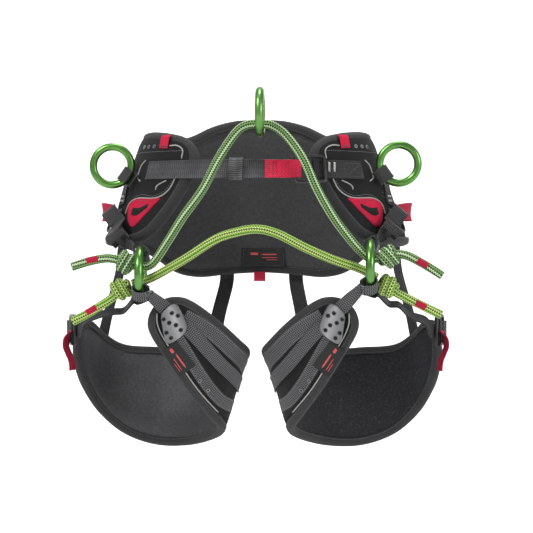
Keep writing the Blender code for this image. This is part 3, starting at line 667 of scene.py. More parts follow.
def patch(point, us, vs, low, high, rim=0.0):
    """A raised cloth patch: point(u, v, out) over us and vs, from low to high, with its rim
    rim millimetres lower so that its edges roll down."""
    us, vs = list(us), list(vs)
    top = np.array([[point(u, v, high) for v in vs] for u in us])
    bottom = np.array([[point(u, v, low) for v in vs] for u in us])
    if rim:
        last_u, last_v = len(us) - 1, len(vs) - 1
        for i in range(len(us)):
            for j in range(len(vs)):
                if i in (0, last_u) or j in (0, last_v):
                    top[i, j] += (bottom[i, j] - top[i, j]) * min(1.0, rim / max(0.01, high - low))
    rows, columns = top.shape[:2]
    u_run = lengths_along(top[:, columns // 2]) * MM
    v_run = lengths_along(top[rows // 2]) * MM
    base = rows * columns
    faces, uvs = [], []
    for layer in (0, 1):
        for i in range(rows - 1):
            for j in range(columns - 1):
                corners = ((i, j), (i + 1, j), (i + 1, j + 1), (i, j + 1))
                faces.append(tuple(layer * base + a * columns + b for a, b in corners))
                uvs += [(u_run[a], v_run[b]) for a, b in corners]
    border = ([(i, 0) for i in range(rows)] + [(rows - 1, j) for j in range(1, columns)]
              + [(i, columns - 1) for i in range(rows - 2, -1, -1)] + [(0, j) for j in range(columns - 2, 0, -1)])
    for (a, b), (c, d) in zip(border, border[1:] + border[:1]):
        faces.append((a * columns + b, c * columns + d, base + c * columns + d, base + a * columns + b))
        uvs += [(u_run[a], v_run[b]), (u_run[c], v_run[d]), (u_run[c], v_run[d]), (u_run[a], v_run[b])]
    return np.vstack([bottom.reshape(-1, 3), top.reshape(-1, 3)]), faces, uvs


def smooth_torus(centre, normal, radius, thickness, turns=96, sides=28):
    axis = unit(normal)
    e1 = unit(np.cross((0, 0, 1), axis)) if abs(axis[2]) < 0.9 else np.array([1.0, 0, 0])
    e2 = np.cross(axis, e1)
    a = np.linspace(0, 2 * math.pi, turns, endpoint=False)
    b = np.linspace(0, 2 * math.pi, sides, endpoint=False)
    rays = e1 * np.cos(a)[:, None] + e2 * np.sin(a)[:, None]
    rings = (np.array(centre, float) + rays[:, None] * (radius + thickness * np.cos(b))[None, :, None]
             + axis * (thickness * np.sin(b))[None, :, None])
    return swept(rings, loop=True)


class Stitching:
    """Rows of stitches of one thread on one body, gathered into one piece."""

    def __init__(self, name, material, body, blend=None):
        self.name, self.material, self.body, self.blend, self.parts = name, material, body, blend, []

    def row(self, points, normals, length=2.6, gap=1.3, width=0.8, rise=0.25):
        """Stitches along a line of points on a surface, end to end with a gap between them."""
        points, normals = np.array(points, float), np.array(normals, float)
        run = lengths_along(points)
        starts = np.arange(gap / 2, run[-1] - length, length + gap)
        for start in starts:
            marks = start + length * np.array([0, 0.12, 0.88, 1])
            line = np.stack([np.interp(marks, run, points[:, k]) for k in range(3)], axis=1)
            n = unit([np.interp(start + length / 2, run, normals[:, k]) for k in range(3)])
            t = unit(line[-1] - line[0])
            w = np.cross(n, t)
            rings = []
            for p, share in zip(line, (0.35, 1, 1, 0.35)):
                ring = [p + w * width * share * 0.5 * math.cos(a)
                        + n * (rise * share * math.sin(a) + rise * 0.3) for a in np.linspace(0, 2 * math.pi, 6, False)]
                rings.append(ring)
            self.parts.append(swept(rings))

    def zigzag(self, centre, along, across, normal, long, wide, pitch=1.2, width=0.7):
        """A bar tack: close zigzag stitches over a bar of the given length and width."""
        n = unit(normal)
        a, w = unit(along), unit(across)
        count = max(3, int(long / pitch))
        for k in range(count):
            start = centre + a * ((k + 0.15) / count - 0.5) * long - w * wide / 2
            end = centre + a * ((k + 0.85) / count - 0.5) * long + w * wide / 2
            self.row([start, end], [n, n], length=np.linalg.norm(end - start) * 0.92, gap=0.1, width=width, rise=0.35)

    def done(self):
        if self.parts:
            vertices, faces, uvs = merged(self.parts)
            make_piece(self.name, vertices, faces, self.material, self.body, uvs, sharp=0, blend=self.blend)


STITCH = {}


def thread(body, kind="dark"):
    key = (body, kind)
    if key not in STITCH:
        material = {"dark": THREAD_DARK, "grey": THREAD_GREY, "white": THREAD_WHITE}[kind]
        STITCH[key] = Stitching(f"stitching_{kind}_{body}", material, body)
    return STITCH[key]


# ---------------------------------------------------------------- camera, lights and floor
PHOTO_SIZE = 533
PHOTO_SCALE = 1.35  # millimetres in a pixel of the photograph's frame, at the aim point
CAMERA_TURN = 2.0
CAMERA_DISTANCE = 3200.0
AIM_RIGHT = 12.8
AIM_Z = -131.6
SENSOR = 36.0
FLOOR_Z = -560.0


def make_camera():
    turn = math.radians(CAMERA_TURN)
    right = np.array([math.cos(turn), math.sin(turn), 0])
    ahead = np.array([-math.sin(turn), math.cos(turn), 0])
    data = bpy.data.cameras.new("camera")
    data.sensor_width = SENSOR
    data.lens = SENSOR * CAMERA_DISTANCE / (PHOTO_SIZE * PHOTO_SCALE)
    data.clip_end = 50
    camera = bpy.data.objects.new("camera", data)
    bpy.context.scene.collection.objects.link(camera)
    camera.location = (right * AIM_RIGHT + np.array([0, 0, AIM_Z]) - ahead * CAMERA_DISTANCE) * MM
    camera.rotation_euler = (math.pi / 2, 0, turn)
    bpy.context.scene.camera = camera


def make_light(name, place, size, power, target=(0, 0, -0.12)):
    data = bpy.data.lights.new(name, "AREA")
    data.shape = "DISK"
    data.size = size
    data.energy = power
    lamp = bpy.data.objects.new(name, data)
    bpy.context.scene.collection.objects.link(lamp)
    lamp.location = place
    lamp.rotation_euler = (Vector(target) - Vector(place)).to_track_quat("-Z", "Y").to_euler()


def make_studio():
    """A pale floor that curves up into a backdrop behind the object, and a soft bright room."""
    profile = [(-9.0, 0.0), (3.4, 0.0)]
    profile += [(3.4 + 1.6 * math.sin(a), 1.6 - 1.6 * math.cos(a)) for a in np.linspace(0.1, math.pi / 2, 16)]
    profile += [(5.0, 7.0)]
    vertices, faces = [], []
    for x in (-9.0, 9.0):
        vertices += [(x, y, z + FLOOR_Z * MM) for y, z in profile]
    count = len(profile)
    faces = [(i, i + 1, count + i + 1, count + i) for i in range(count - 1)]
    mesh = bpy.data.meshes.new("floor")
    mesh.from_pydata(vertices, [], faces)
    mesh.shade_smooth()
    look = Look("pale_floor", 0.85)
    look.set("Base Color", look.colours(look.noise(3, 2), [(0.3, (0.90, 0.90, 0.90)), (0.7, (0.94, 0.94, 0.94))]))
    mesh.materials.append(look.material)
    floor = bpy.data.objects.new("floor", mesh)
    bpy.context.scene.collection.objects.link(floor)
    world = bpy.data.worlds.new("studio")
    world.use_nodes = True
    world.node_tree.nodes["Background"].inputs[0].default_value = (1.0, 1.0, 1.0, 1.0)
    world.node_tree.nodes["Background"].inputs[1].default_value = 0.5
    bpy.context.scene.world = world
    make_light("key", (-1.7, -1.9, 2.1), 0.9, 62)
    make_light("fill", (2.4, -1.7, 0.7), 1.2, 30)
    make_light("top", (0.1, 0.3, 2.4), 1.2, 34)
    make_light("backdrop_left", (-2.2, 2.3, 0.8), 1.6, 80, (0.0, 5.0, 0.3))
    make_light("backdrop_right", (2.2, 2.3, 0.8), 1.6, 80, (0.0, 5.0, 0.3))
    bpy.context.scene.view_settings.view_transform = "Standard"
    bpy.context.scene.view_settings.look = "None"


make_camera()
make_studio()


# ---------------------------------------------------------------- ropes and knots
ROPE_SIDES = 48
BRAID_DEPTH = 0.5
BAND_LENGTH = 15.0


def braid_rings(points, radius, twist=0.0, start=0.0):
    """Rings of a braided tube: each crossing of two strands stands out as a small crown."""
    points = np.array(points, float)
    _, e1, e2 = turned_frames(points, twist)
    run = lengths_along(points) + start
    b = np.linspace(0, 1, ROPE_SIDES, endpoint=False)
    lay = (run / ROPE_LAY * ROPE_STRANDS)[:, None]
    turn = (b * ROPE_STRANDS)[None, :]
    crown = np.sqrt(np.abs(np.sin(math.pi * (turn + lay)) * np.sin(math.pi * (turn - lay))))
    radii = radius - BRAID_DEPTH * 0.7 + BRAID_DEPTH * crown
    turn = b * 2 * math.pi
    return (points[:, None] + radii[:, :, None]
            * (e1[:, None] * np.cos(turn)[None, :, None] + e2[:, None] * np.sin(turn)[None, :, None]))


def braided(points, radius, twist=0.0):
    rings = braid_rings(points, radius, twist)
    return swept(rings, turn_share=True)


def braid_steps(route):
    return int(lengths_along(smooth_route(route, 60))[-1] / 1.15)


def knot_path(centre, axis, facing, turns, radius, pitch, phase):
    """A rope wound round an axis through the knot, its two ends tucked into the middle."""
    w = unit(axis)
    e1 = unit(np.array(facing, float) - w * np.dot(facing, w))
    e2 = np.cross(w, e1)
    points = []
    for t in np.linspace(0, 1, int(turns * 46)):
        a = 2 * math.pi * (turns * t + phase)
        tuck = float(soft_step(min(t, 1 - t) / 0.10))
        reach = (radius + 1.6 * math.sin(math.pi * t)) * tuck
        points.append(np.array(centre, float) + w * (t - 0.5) * pitch * turns * (0.75 + 0.25 * tuck)
                      + reach * (e1 * math.cos(a) + e2 * math.sin(a)))
    return np.array(points)


# axis of the wraps of each knot, and its number of turns
KNOT_TURNS = {
    "upper_L": ((0.80, 0.05, -0.60), 2.6),
    "lower_L": ((0.90, 0.0, 0.44), 2.45),
    "upper_R": ((0.80, 0.05, 0.60), 2.6),
    "lower_R": ((0.88, 0.0, -0.47), 2.45),
}
KNOT_RADIUS = 8.5
KNOT_PITCH = 9.2
KNOT_ROPE = 4.6


def make_rope(kind, route, look, slot_name):
    """One bridge rope with its two knots and two tails, each a cord of its own."""
    steps = braid_steps(route)
    line = smooth_route(route, steps)
    knots, tails = {}, {}
    for side, _ in SIDES:
        name = f"{kind}_{side}"
        centre, _, tail = KNOTS[name]
        axis, turns = KNOT_TURNS[name]
        path = knot_path(centre, axis, (0, -1, 0), turns, KNOT_RADIUS, KNOT_PITCH, 0.35)
        vertices, faces, uvs = braided(path, KNOT_ROPE + 0.2, 0.02)
        knots[side] = make_piece(f"knot_{name}_wraps", vertices, faces, look, "waist", uvs, f"knot_{name}",
                                 slot_name, sharp=0)
        tail_route = [np.array(centre, float)] + [np.array(p, float) for p in tail]
        tails[side] = smooth_route(tail_route, braid_steps(tail_route))
    vertices, faces, uvs = braided(line, ROPE / 2, 0.004)
    bridge = make_piece(f"bridge_rope_{kind}_braid", vertices, faces, look, "waist", uvs, f"bridge_rope_{kind}",
                        slot_name, sharp=0)
    lengths_along(line)[-1] * MM
    for side, sign in SIDES:
        path = tails[side]
        vertices, faces, uvs = braided(path, ROPE / 2, 0.01)
        tail = make_piece(f"rope_tail_{kind}_{side}_braid", vertices, faces, look, "waist", uvs,
                          f"rope_tail_{kind}_{side}", slot_name, sharp=0)
        band = make_band(f"rope_band_{kind}_{side}", path)
        tip = make_tip(f"rope_tip_{kind}_{side}", path, look)
        lengths_along(path)[-1] * MM


def make_band(name, path):
    """A red woven tag wrapped over the front of a tail."""
    run = lengths_along(path)
    middle = run[-1] * 0.62
    marks = np.linspace(middle - BAND_LENGTH / 2, middle + BAND_LENGTH / 2, 14)
    line = np.stack([np.interp(marks, run, path[:, k]) for k in range(3)], axis=1)
    tangents = unit_rows(np.gradient(line, axis=0))
    rings = []
    for p, t in zip(line, tangents):
        front = unit(np.array((0, -1.0, 0.15)) - t * np.dot((0, -1.0, 0.15), t))
        up = np.cross(t, front)
        outer = [p + (front * math.cos(a) + up * math.sin(a)) * (ROPE / 2 + 0.75) for a in np.linspace(-0.55, 0.85, 15)]
        inner = [p + (front * math.cos(a) + up * math.sin(a)) * (ROPE / 2 - 0.1) for a in np.linspace(0.85, -0.55, 15)]
        rings.append(outer + inner)
    vertices, faces, uvs = swept(rings)
    return make_piece(name, vertices, faces, RED_WEB, "waist", uvs, sharp=60)


def make_tip(name, path, look):
    """The heat-sealed end of a tail: a short stub that tapers, flat at its cut."""
    t = unit(path[-1] - path[-3])
    stub = np.array([path[-1] + t * k for k in (-1.0, -0.4, 0.2, 0.7, 1.0)])
    rings = braid_rings(stub, ROPE / 2)
    for ring, centre, share in zip(rings, stub, (1.0, 0.99, 0.95, 0.86, 0.7)):
        ring[:] = centre + (ring - centre) * share
    vertices, faces, uvs = swept(rings, turn_share=True, start=lengths_along(path)[-1])
    return make_piece(name, vertices, faces, look, "waist", uvs, sharp=0)


make_rope("upper", UPPER_ROUTE, DARK_ROPE, "dark_green_rope")
make_rope("lower", LOWER_ROUTE, LIME_ROPE, "lime_rope")


# ---------------------------------------------------------------- rings
RING_ROUNDING = 0.6


def make_rings():
    top = np.array(BRIDGE_TOP)
    drop = BRIDGE_RING_RADIUS - BRIDGE_RING_TUBE - ROPE / 2 - GAP
    rings = [("bridge_ring", top + (0, 0, drop), (1, 0, 0), BRIDGE_RING_RADIUS, BRIDGE_RING_TUBE, "bridge_ring_body")]
    for side, _ in SIDES:
        rings.append((f"side_ring_{side}", SIDE_RING[side], (0, 1, 0), SIDE_RING_RADIUS, SIDE_RING_TUBE,
                      f"side_ring_body_{side}"))
        rings.append((f"hip_ring_{side}", HIP_RING[side], (1, 0, 0), HIP_RING_RADIUS, HIP_RING_TUBE,
                      f"hip_ring_body_{side}"))
    for node, centre, normal, radius, thickness, body in rings:
        shown = thickness - RING_ROUNDING if "hip" in node else thickness
        vertices, faces, uvs = smooth_torus(centre, normal, radius, shown)
        make_piece(f"{node}_polished", vertices, faces, GREEN_METAL, body, uvs, node, "green_aluminium", sharp=0)


make_rings()


# ---------------------------------------------------------------- pads
VOXEL = 5.0
PUFF_FRAMES = 20
PUFF_PRESSURE = 4.0
WAIST_ROUND = (0.04, 0.12)  # how far the corners are rounded, as shares of u and v
LEG_ROUND = (0.55, 0.38)


def rounded_range(x, low, high, reach, depth):
    """The share of the height cut off each edge at x, to round the corners at both ends."""
    d = min(x - low, high - x)
    if d >= reach:
        return 0.0
    return depth * (1 - math.sqrt(max(0.0, 1 - (1 - d / reach)**2)))


def waist_pad_uv(u, v):
    cut = rounded_range(u, -1, 1, *WAIST_ROUND)
    return u, cut + v * (1 - 2 * cut)


def waist_surface(u, v, out):
    u, v = waist_pad_uv(u, v)
    return pad_point(u, v, out)


def leg_surface(sign):
    def point(s, t, out):
        cut = rounded_range(s, 0.3, 13, *LEG_ROUND)
        return leg_point(s, cut + t * (1 - 2 * cut), out, sign)
    return point


def even_ends(low, high, reach, count, ends):
    """Places from low to high, closer together within reach of each end."""
    a = np.array([0.5 - 0.5 * math.cos(x) for x in np.linspace(0, math.pi / 2, ends)]) * reach
    return np.concatenate([low + a[:-1], np.linspace(low + a[-1], high - a[-1], count), (high - a[:-1])[::-1]])


def pad_shell(point, us, vs, thickness):
    """A closed pad, thinner towards its edges, as (vertices, faces)."""
    rim = 2.2
    grids = []
    for low in (True, False):
        rows = []
        for u in us:
            column = [point(u, v, thickness / 2) for v in vs]
            ends = min(lengths_along(np.array([point(x, 0.5, 0) for x in (us[0], u)]))[-1],
                       lengths_along(np.array([point(x, 0.5, 0) for x in (u, us[-1])]))[-1])
            run = lengths_along(np.array(column))
            row = []
            for v, r in zip(vs, run):
                inset = min(r, run[-1] - r, ends)
                half = thickness / 2 - 0.7 - rim * (1 - soft_step(inset / 15))
                row.append(point(u, v, thickness / 2 + (-half if low else half)))
            rows.append(row)
        grids.append(np.array(rows))
    rows, columns = grids[0].shape[:2]
    base = rows * columns
    faces = []
    for layer in (0, 1):
        for i in range(rows - 1):
            for j in range(columns - 1):
                faces.append(tuple(layer * base + a * columns + b
                                   for a, b in ((i, j), (i + 1, j), (i + 1, j + 1), (i, j + 1))))
    border = ([(i, 0) for i in range(rows)] + [(rows - 1, j) for j in range(1, columns)]
              + [(i, columns - 1) for i in range(rows - 2, -1, -1)] + [(0, j) for j in range(columns - 2, 0, -1)])
    for (a, b), (c, d) in zip(border, border[1:] + border[:1]):
        faces.append((a * columns + b, c * columns + d, base + c * columns + d, base + a * columns + b))
    return np.vstack([g.reshape(-1, 3) for g in grids]), faces


def coordinates(mesh):
    co = np.zeros(len(mesh.vertices) * 3, np.float32)
    mesh.vertices.foreach_get("co", co)
    return co.reshape(-1, 3).astype(float)


def puffed(obj, cap):
    """Inflates a pad as cloth, no point moving more than cap millimetres."""
    remesh = obj.modifiers.new("even faces", "REMESH")
    remesh.mode = "VOXEL"
    remesh.voxel_size = VOXEL * MM
    bpy.context.view_layer.objects.active = obj
    bpy.ops.object.modifier_apply(modifier=remesh.name)
    rest = coordinates(obj.data)
    cloth = obj.modifiers.new("puff", "CLOTH")
    cloth.settings.use_pressure = True
    cloth.settings.uniform_pressure_force = PUFF_PRESSURE
    cloth.settings.quality = 4
    cloth.settings.effector_weights.gravity = 0
    cloth.collision_settings.use_collision = False
    scene = bpy.context.scene
    for step in range(1, PUFF_FRAMES + 1):
        scene.frame_set(step)
    shaped = obj.evaluated_get(bpy.context.evaluated_depsgraph_get())
    moved = coordinates(shaped.data)
    obj.modifiers.remove(cloth)
    scene.frame_set(1)
    shift = moved - rest
    far = np.linalg.norm(shift, axis=1, keepdims=True)
    shift *= np.minimum(1, cap * MM / np.maximum(far, 1e-9))
    rest = rest + shift
    obj.data.vertices.foreach_set("co", rest.astype(np.float32).ravel())
    obj.data.update()


def make_pad(name, point, us, vs, thickness, material, body, node, cap=1.6, shape=None):
    vertices, faces = pad_shell(point, us, vs, thickness)
    obj = make_piece(name, vertices, faces, material, None, sharp=0)
    puffed(obj, cap)
    smooth = obj.modifiers.new("even surface", "SMOOTH")
    smooth.factor = 0.5
    smooth.iterations = 3
    bpy.ops.object.modifier_apply(modifier=smooth.name)
    finer = obj.modifiers.new("finer", "SUBSURF")
    finer.levels = finer.render_levels = 1
    bpy.ops.object.modifier_apply(modifier=finer.name)
    if shape:
        co = coordinates(obj.data) / MM
        obj.data.vertices.foreach_set("co", (shape(co) * MM).astype(np.float32).ravel())
        obj.data.update()
    obj.data.materials.clear()
    obj.data.materials.append(material)
    obj.data.shade_smooth()
    return settle_piece(obj, body, node, "pad_lining")


def surface_frame(point, u, v, out, du=0.002, dv=0.004):
    """Point, normal and the two directions along u and v."""
    along = unit(point(u + du, v, out) - point(u - du, v, out))
    up = unit(point(u, v + dv, out) - point(u, v - dv, out))
    normal = unit(np.cross(along, up))
    if np.dot(normal, point(u, v, out + 1) - point(u, v, out)) < 0:
        normal = -normal
    return point(u, v, out), normal, along, up


def outline(point, us, vs, thickness, count):
    """Even points round a pad's edge with the directions into the pad and out of its face."""
    low, high = us[0], us[-1]
    pairs = ([(u, 0.0) for u in us] + [(high, v) for v in vs[1:-1]] + [(u, 1.0) for u in us[::-1]]
             + [(low, v) for v in vs[::-1][1:-1]])
    middle = np.array([point(u, v, thickness / 2) for u, v in pairs + pairs[:1]])
    faces = []
    for u, v in pairs:
        inner_u = min(max(u, low + (high - low) * 0.004), high - (high - low) * 0.004)
        inner_v = min(max(v, 0.03), 0.97)
        faces.append(unit(point(inner_u, inner_v, thickness) - point(inner_u, inner_v, 0)))
    faces = np.array(faces + faces[:1])
    run = lengths_along(middle)
    marks = np.linspace(0, run[-1], count, endpoint=False)
    line = np.stack([np.interp(marks, run, middle[:, k]) for k in range(3)], axis=1)
    out = np.stack([np.interp(marks, run, faces[:, k]) for k in range(3)], axis=1)
    places = np.stack([np.interp(marks, run, [p[k] for p in pairs + pairs[:1]]) for k in (0, 1)], axis=1)
    for _ in range(2):
        line = (np.roll(line, 1, 0) + line * 2 + np.roll(line, -1, 0)) / 4
        out = (np.roll(out, 1, 0) + out * 2 + np.roll(out, -1, 0)) / 4
    out = unit_rows(out)
    tangents = unit_rows(np.roll(line, -1, 0) - np.roll(line, 1, 0))
    inward = np.cross(out, tangents)
    centre = line.mean(axis=0)
    probe = np.array([point(min(max(u, low + 0.02 * (high - low)), high - 0.02 * (high - low)),
                            min(max(v, 0.1), 0.9), thickness / 2) for u, v in places])
    flip = np.sign((inward * (probe - line)).sum(axis=1))
    flip = np.sign(flip.sum()) if abs(flip.sum()) > len(flip) * 0.6 else flip[:, None]
    inward = inward * flip
    del centre
    return line, out, unit_rows(inward), places


def binding(line, out, inward, thickness, wide, extra):
    """Tape folded round a pad's edge. extra gives how much farther out it stands, at each point,
    on the outer face."""
    half = thickness / 2
    rings = []
    for p, n, w, more in zip(line, out, inward, extra):
        profile = [(wide, -half - 0.35), (wide - 1.2, -half - 0.75), (3.0, -half - 0.55), (0.3, -half * 0.85),
                   (-1.3, -half * 0.45), (-1.9, 0.0), (-1.3, half * 0.45 + more * 0.4),
                   (0.3, half * 0.85 + more * 0.8), (3.0, half + 0.55 + more), (wide - 1.2, half + 0.75 + more),
                   (wide, half + 0.35 + more)]
        inner = [(wide, half - 0.5 + more), (3.0, half - 0.5 + more * 0.9), (1.2, half * 0.6),
                 (0.2, 0.0), (1.2, -half * 0.6), (3.0, -half + 0.5), (wide, -half + 0.5)]
        rings.append([p + w * a + n * b for a, b in profile + inner])
    return swept(rings, loop=True)


def make_binding(name, point, us, vs, thickness, body, wide=9.0, extra=None, count=420, rows=(2.0,)):
    line, out, inward, places = outline(point, us, vs, thickness, count)
    more = np.array([extra(*p) if extra else 0.0 for p in places])
    vertices, faces, uvs = binding(line, out, inward, thickness, wide, more)
    made = make_piece(name, vertices, faces, BINDING, body, uvs, sharp=60)
    sewn = thread(body)
    closed = np.vstack([np.arange(len(line))[:, None], [[0]]]).ravel()
    for inset in rows:
        for face, rise in ((1, more), (-1, more * 0)):
            edge = line + inward * (wide - inset) + out * (face * (thickness / 2 + 0.75) + face * rise)[:, None] \
                if face > 0 else line + inward * (wide - inset) - out * (thickness / 2 + 0.75)
            sewn.row(edge[closed], (out * face)[closed], length=2.4, gap=1.2, width=0.75)
    return made


WAIST_US = even_ends(-1, 1, WAIST_ROUND[0], 90, 6)
WAIST_VS = np.linspace(0, 1, 15)
LEG_US = even_ends(0.3, 13, LEG_ROUND[0], 60, 6)
LEG_VS = np.linspace(0, 1, 10)


def wing_extra(u, v):
    return 3.0 * float(soft_step((abs(u) - 0.55) / 0.08))


def waist_channels(co):
    """Presses the sewn channels into the waist pad, on the face towards the wearer."""
    x, y, z = co.T
    width = WAIST_HALF_WIDTH - FLARE_WIDTH * z + PAD_THICKNESS / 2
    depth = WAIST_HALF_DEPTH - FLARE_DEPTH * z + PAD_THICKNESS / 2
    angle = np.degrees(np.arctan2(x / width, y / depth))
    radius = np.sqrt((x / width)**2 + (y / depth)**2)
    top = np.array([hermite(TOP_EDGE, min(150, abs(a))) for a in angle])
    press = np.zeros(len(co))
    for offset in (17.0,):
        press = np.maximum(press, np.exp(-((z - (top - offset)) / 2.2)**2))
    inside = (radius < 1.0) & (np.abs(angle) < 118)
    shift = np.where(inside, 1.3 * press, 0.0)
    normals = np.stack([x / width**2, y / depth**2, x * 0], axis=1)
    return co + unit_rows(normals) * shift[:, None]


def make_pads():
    make_pad("waist_pad_lining", waist_surface, WAIST_US, WAIST_VS, PAD_THICKNESS, LINING, "waist", "waist_pad",
             cap=1.2, shape=waist_channels)
    make_binding("waist_binding", waist_surface, WAIST_US, WAIST_VS, PAD_THICKNESS, "waist", 10.0, wing_extra,
                 640)
    for side, sign in SIDES:
        surface = leg_surface(sign)
        body = f"leg_loop_{side}"
        material = LIT_LEG_LINING if side == "L" else FLEECE
        make_pad(f"leg_pad_{side}_lining", surface, LEG_US, LEG_VS, LEG_PAD_THICKNESS, material, body,
                 f"leg_pad_{side}", cap=1.2)
        make_binding(f"leg_binding_{side}", surface, LEG_US, LEG_VS, LEG_PAD_THICKNESS, body, 8.5)


make_pads()


# ---------------------------------------------------------------- hip wings
PANEL_TOP = PANEL_OUT + PANEL_THICKNESS
WING_US = np.linspace(0.60, 0.978, 30)
WING_VS = np.linspace(0.045, 0.955, 16)
POCKET_BOTTOM = [(117, -60), (119, -47), (123.5, -41), (136, -41), (141, -33), (144.5, -14)]
POCKET_TOP = [(117, 12), (130, 14), (144.5, 13)]
MAIN_PIPING = [(144.5, -14), (142, -32), (136, -41.5), (123.5, -41.5), (117, -48), (116, -62)]
INNER_PIPING = [(139.6, -19), (135.5, -24), (134.2, -28), (134.6, -31)]
UPPER_PIPING = [(136, 27), (141, 27), (145, 21), (145.5, 9)]
END_PIPING = [(120, 9), (117, 3), (116.5, -5), (117, -14), (121, -19)]
EYELET_ANGLES = (113, 118.5, 124)
EYELET_Z = 27.0
PIPING_RADIUS = 0.85


def waist_line(spots, out, sign=1, step=2.0):
    """Points and normals along (angle, height) spots on the waist."""
    rough = np.array([waist_point(sign * a, z, out) for a, z in spots])
    count = max(8, int(lengths_along(rough)[-1] / step))
    fine = smooth_route([(a * 3, z, 0) for a, z in spots], count)
    points = np.array([waist_point(sign * a / 3, z, out) for a, z, _ in fine])
    normals = np.array([waist_normal(sign * a / 3, z, out) for a, z, _ in fine])
    return points, normals


def eyelet(name, centre, normal, radius, body):
    """A pressed metal eyelet, its hole closed by a near-black cup as painted shade."""
    n = unit(normal)
    ring = smooth_torus(centre + n * 0.3, n, radius, 0.75, 24, 8)
    make_piece(name, *ring[:2], STEEL, body, ring[2], sharp=0)
    e1 = unit(np.cross(n, (0.3, 1, 0.2)))
    e2 = np.cross(n, e1)
    # Painted shade: a near-black cup stands in for the shade inside the eyelet's hole.
    rings = [[centre + (e1 * math.cos(a) + e2 * math.sin(a)) * radius * share + n * rise
              for a in np.linspace(0, 2 * math.pi, 20, False)]
             for share, rise in ((1.0, 0.1), (0.75, -0.1), (0.3, -0.3))]
    hole = swept(rings)
    make_piece(name + "_hole", *hole[:2], SHELL_SMOOTH, body, hole[2], sharp=0)


def make_wing(side, sign):
    def surface(u, v, out):
        return waist_surface(sign * u, v, out)

    vertices, faces, uvs = patch(surface, WING_US, WING_VS, PANEL_OUT, PANEL_TOP - 0.1, 1.6)
    make_piece(f"hip_panel_{side}_cloth", vertices, faces, SHELL, "waist", uvs, f"hip_panel_{side}", "outer_fabric")

    def between(low, high):
        def point(a, v, out):
            return waist_point(sign * a, (1 - v) * low(a) + v * high(a), out)
        return point

    pocket = between(lambda a: hermite(POCKET_BOTTOM, a), lambda a: hermite(POCKET_TOP, a))
    made = patch(pocket, np.linspace(117.2, 144.3, 24), np.linspace(0, 1, 12), PANEL_TOP - 0.3, ON_PANEL - 0.12, 0.15)
    make_piece(f"hip_pocket_{side}", *made[:2], SHELL_SMOOTH, "waist", made[2])
    leaf = between(lambda a: hermite(PATCH_BOTTOM, a) - 0.4, lambda a: hermite(PATCH_TOP, a))
    made = patch(leaf, np.linspace(117, 138.4, 22), np.linspace(0, 1, 12), PANEL_TOP - 0.2, ON_PANEL + 1.1, 0.7)
    make_piece(f"hip_patch_{side}_cloth", *made[:2], RED_CLOTH, "waist", made[2], f"hip_patch_{side}", "red_webbing")
    mark = between(lambda a: hermite(PATCH_BOTTOM, a) * 0.62 + hermite(PATCH_TOP, a) * 0.38,
                   lambda a: hermite(PATCH_BOTTOM, a) * 0.34 + hermite(PATCH_TOP, a) * 0.66)
    made = patch(mark, np.linspace(122, 132.5, 10), np.linspace(0, 1, 5), ON_PANEL + 1.0, ON_PANEL + 1.5, 0.3)
    make_piece(f"hip_patch_mark_{side}", *made[:2], SHELL_SMOOTH, "waist", made[2])
    piping = []
    for spots in (MAIN_PIPING, INNER_PIPING, UPPER_PIPING, END_PIPING):
        points, _ = waist_line(spots, ON_PANEL + 0.15, sign, 1.5)
        piping.append(tube(points, PIPING_RADIUS, 8))
    vertices, faces, uvs = merged(piping)
    make_piece(f"hip_piping_{side}", vertices, faces, PIPING, "waist", uvs, sharp=0)
    for k, a in enumerate(EYELET_ANGLES):
        eyelet(f"hip_eyelet_{side}_{k + 1}", waist_point(sign * a, EYELET_Z, PANEL_TOP),
               waist_normal(sign * a, EYELET_Z, PANEL_TOP), 2.1, "waist")
    sewn = thread("waist", "grey")
    lower = [(a, hermite(POCKET_BOTTOM, a) + 3.2) for a in np.linspace(119, 143, 12)]
    sewn.row(*waist_line(lower, ON_PANEL - 0.1, sign), length=2.2, gap=1.3, width=0.6)
    upper = [(a, 20.0) for a in np.linspace(100, 146, 16)]
    sewn.row(*waist_line(upper, PANEL_TOP, sign), length=2.2, gap=1.3, width=0.6)
    rim_top = [(a, hermite(PATCH_TOP, a) - 2.4) for a in np.linspace(119.5, 135, 10)]
    rim_low = [(a, hermite(PATCH_BOTTOM, a) + 2.6) for a in np.linspace(119.5, 135, 14)]
    for rim in (rim_top, rim_low):
        thread("waist").row(*waist_line(rim, ON_PANEL + 1.15, sign), length=1.9, gap=1.1, width=0.5)
    thread("waist").row(*waist_line([(a, -40 + 0.4 * (a - 96)) for a in np.linspace(96, 114, 8)], PANEL_TOP, sign))
    thread("waist").row(*waist_line([(a, -46 + 0.4 * (a - 96)) for a in np.linspace(96, 114, 8)], PANEL_TOP, sign))
    along = unit(waist_point(sign * 134, 0, 0) - waist_point(sign * 132, 0, 0))
    spots = ((24, ON_PANEL + 0.9), (29, ON_PANEL + 1.5), (34, ON_PANEL + 2.0), (38.5, ON_PANEL + 2.4),
             (40.6, ON_PANEL + 1.2), (41, ON_PANEL - 1.5))
    loop = [(waist_point(sign * 132.5, z, out), along) for z, out in spots]
    strap_piece(f"suspender_loop_{side}_woven", loop, 15, RED_CLOTH, 1.6, replaces=f"suspender_loop_{side}",
                slot="red_webbing")
    tack = waist_point(sign * 133, 26.5, ON_PANEL + 2.2)
    thread("waist").zigzag(tack, along, (0, 0, 1), waist_normal(sign * 133, 25, ON_PANEL), 11, 2.2)


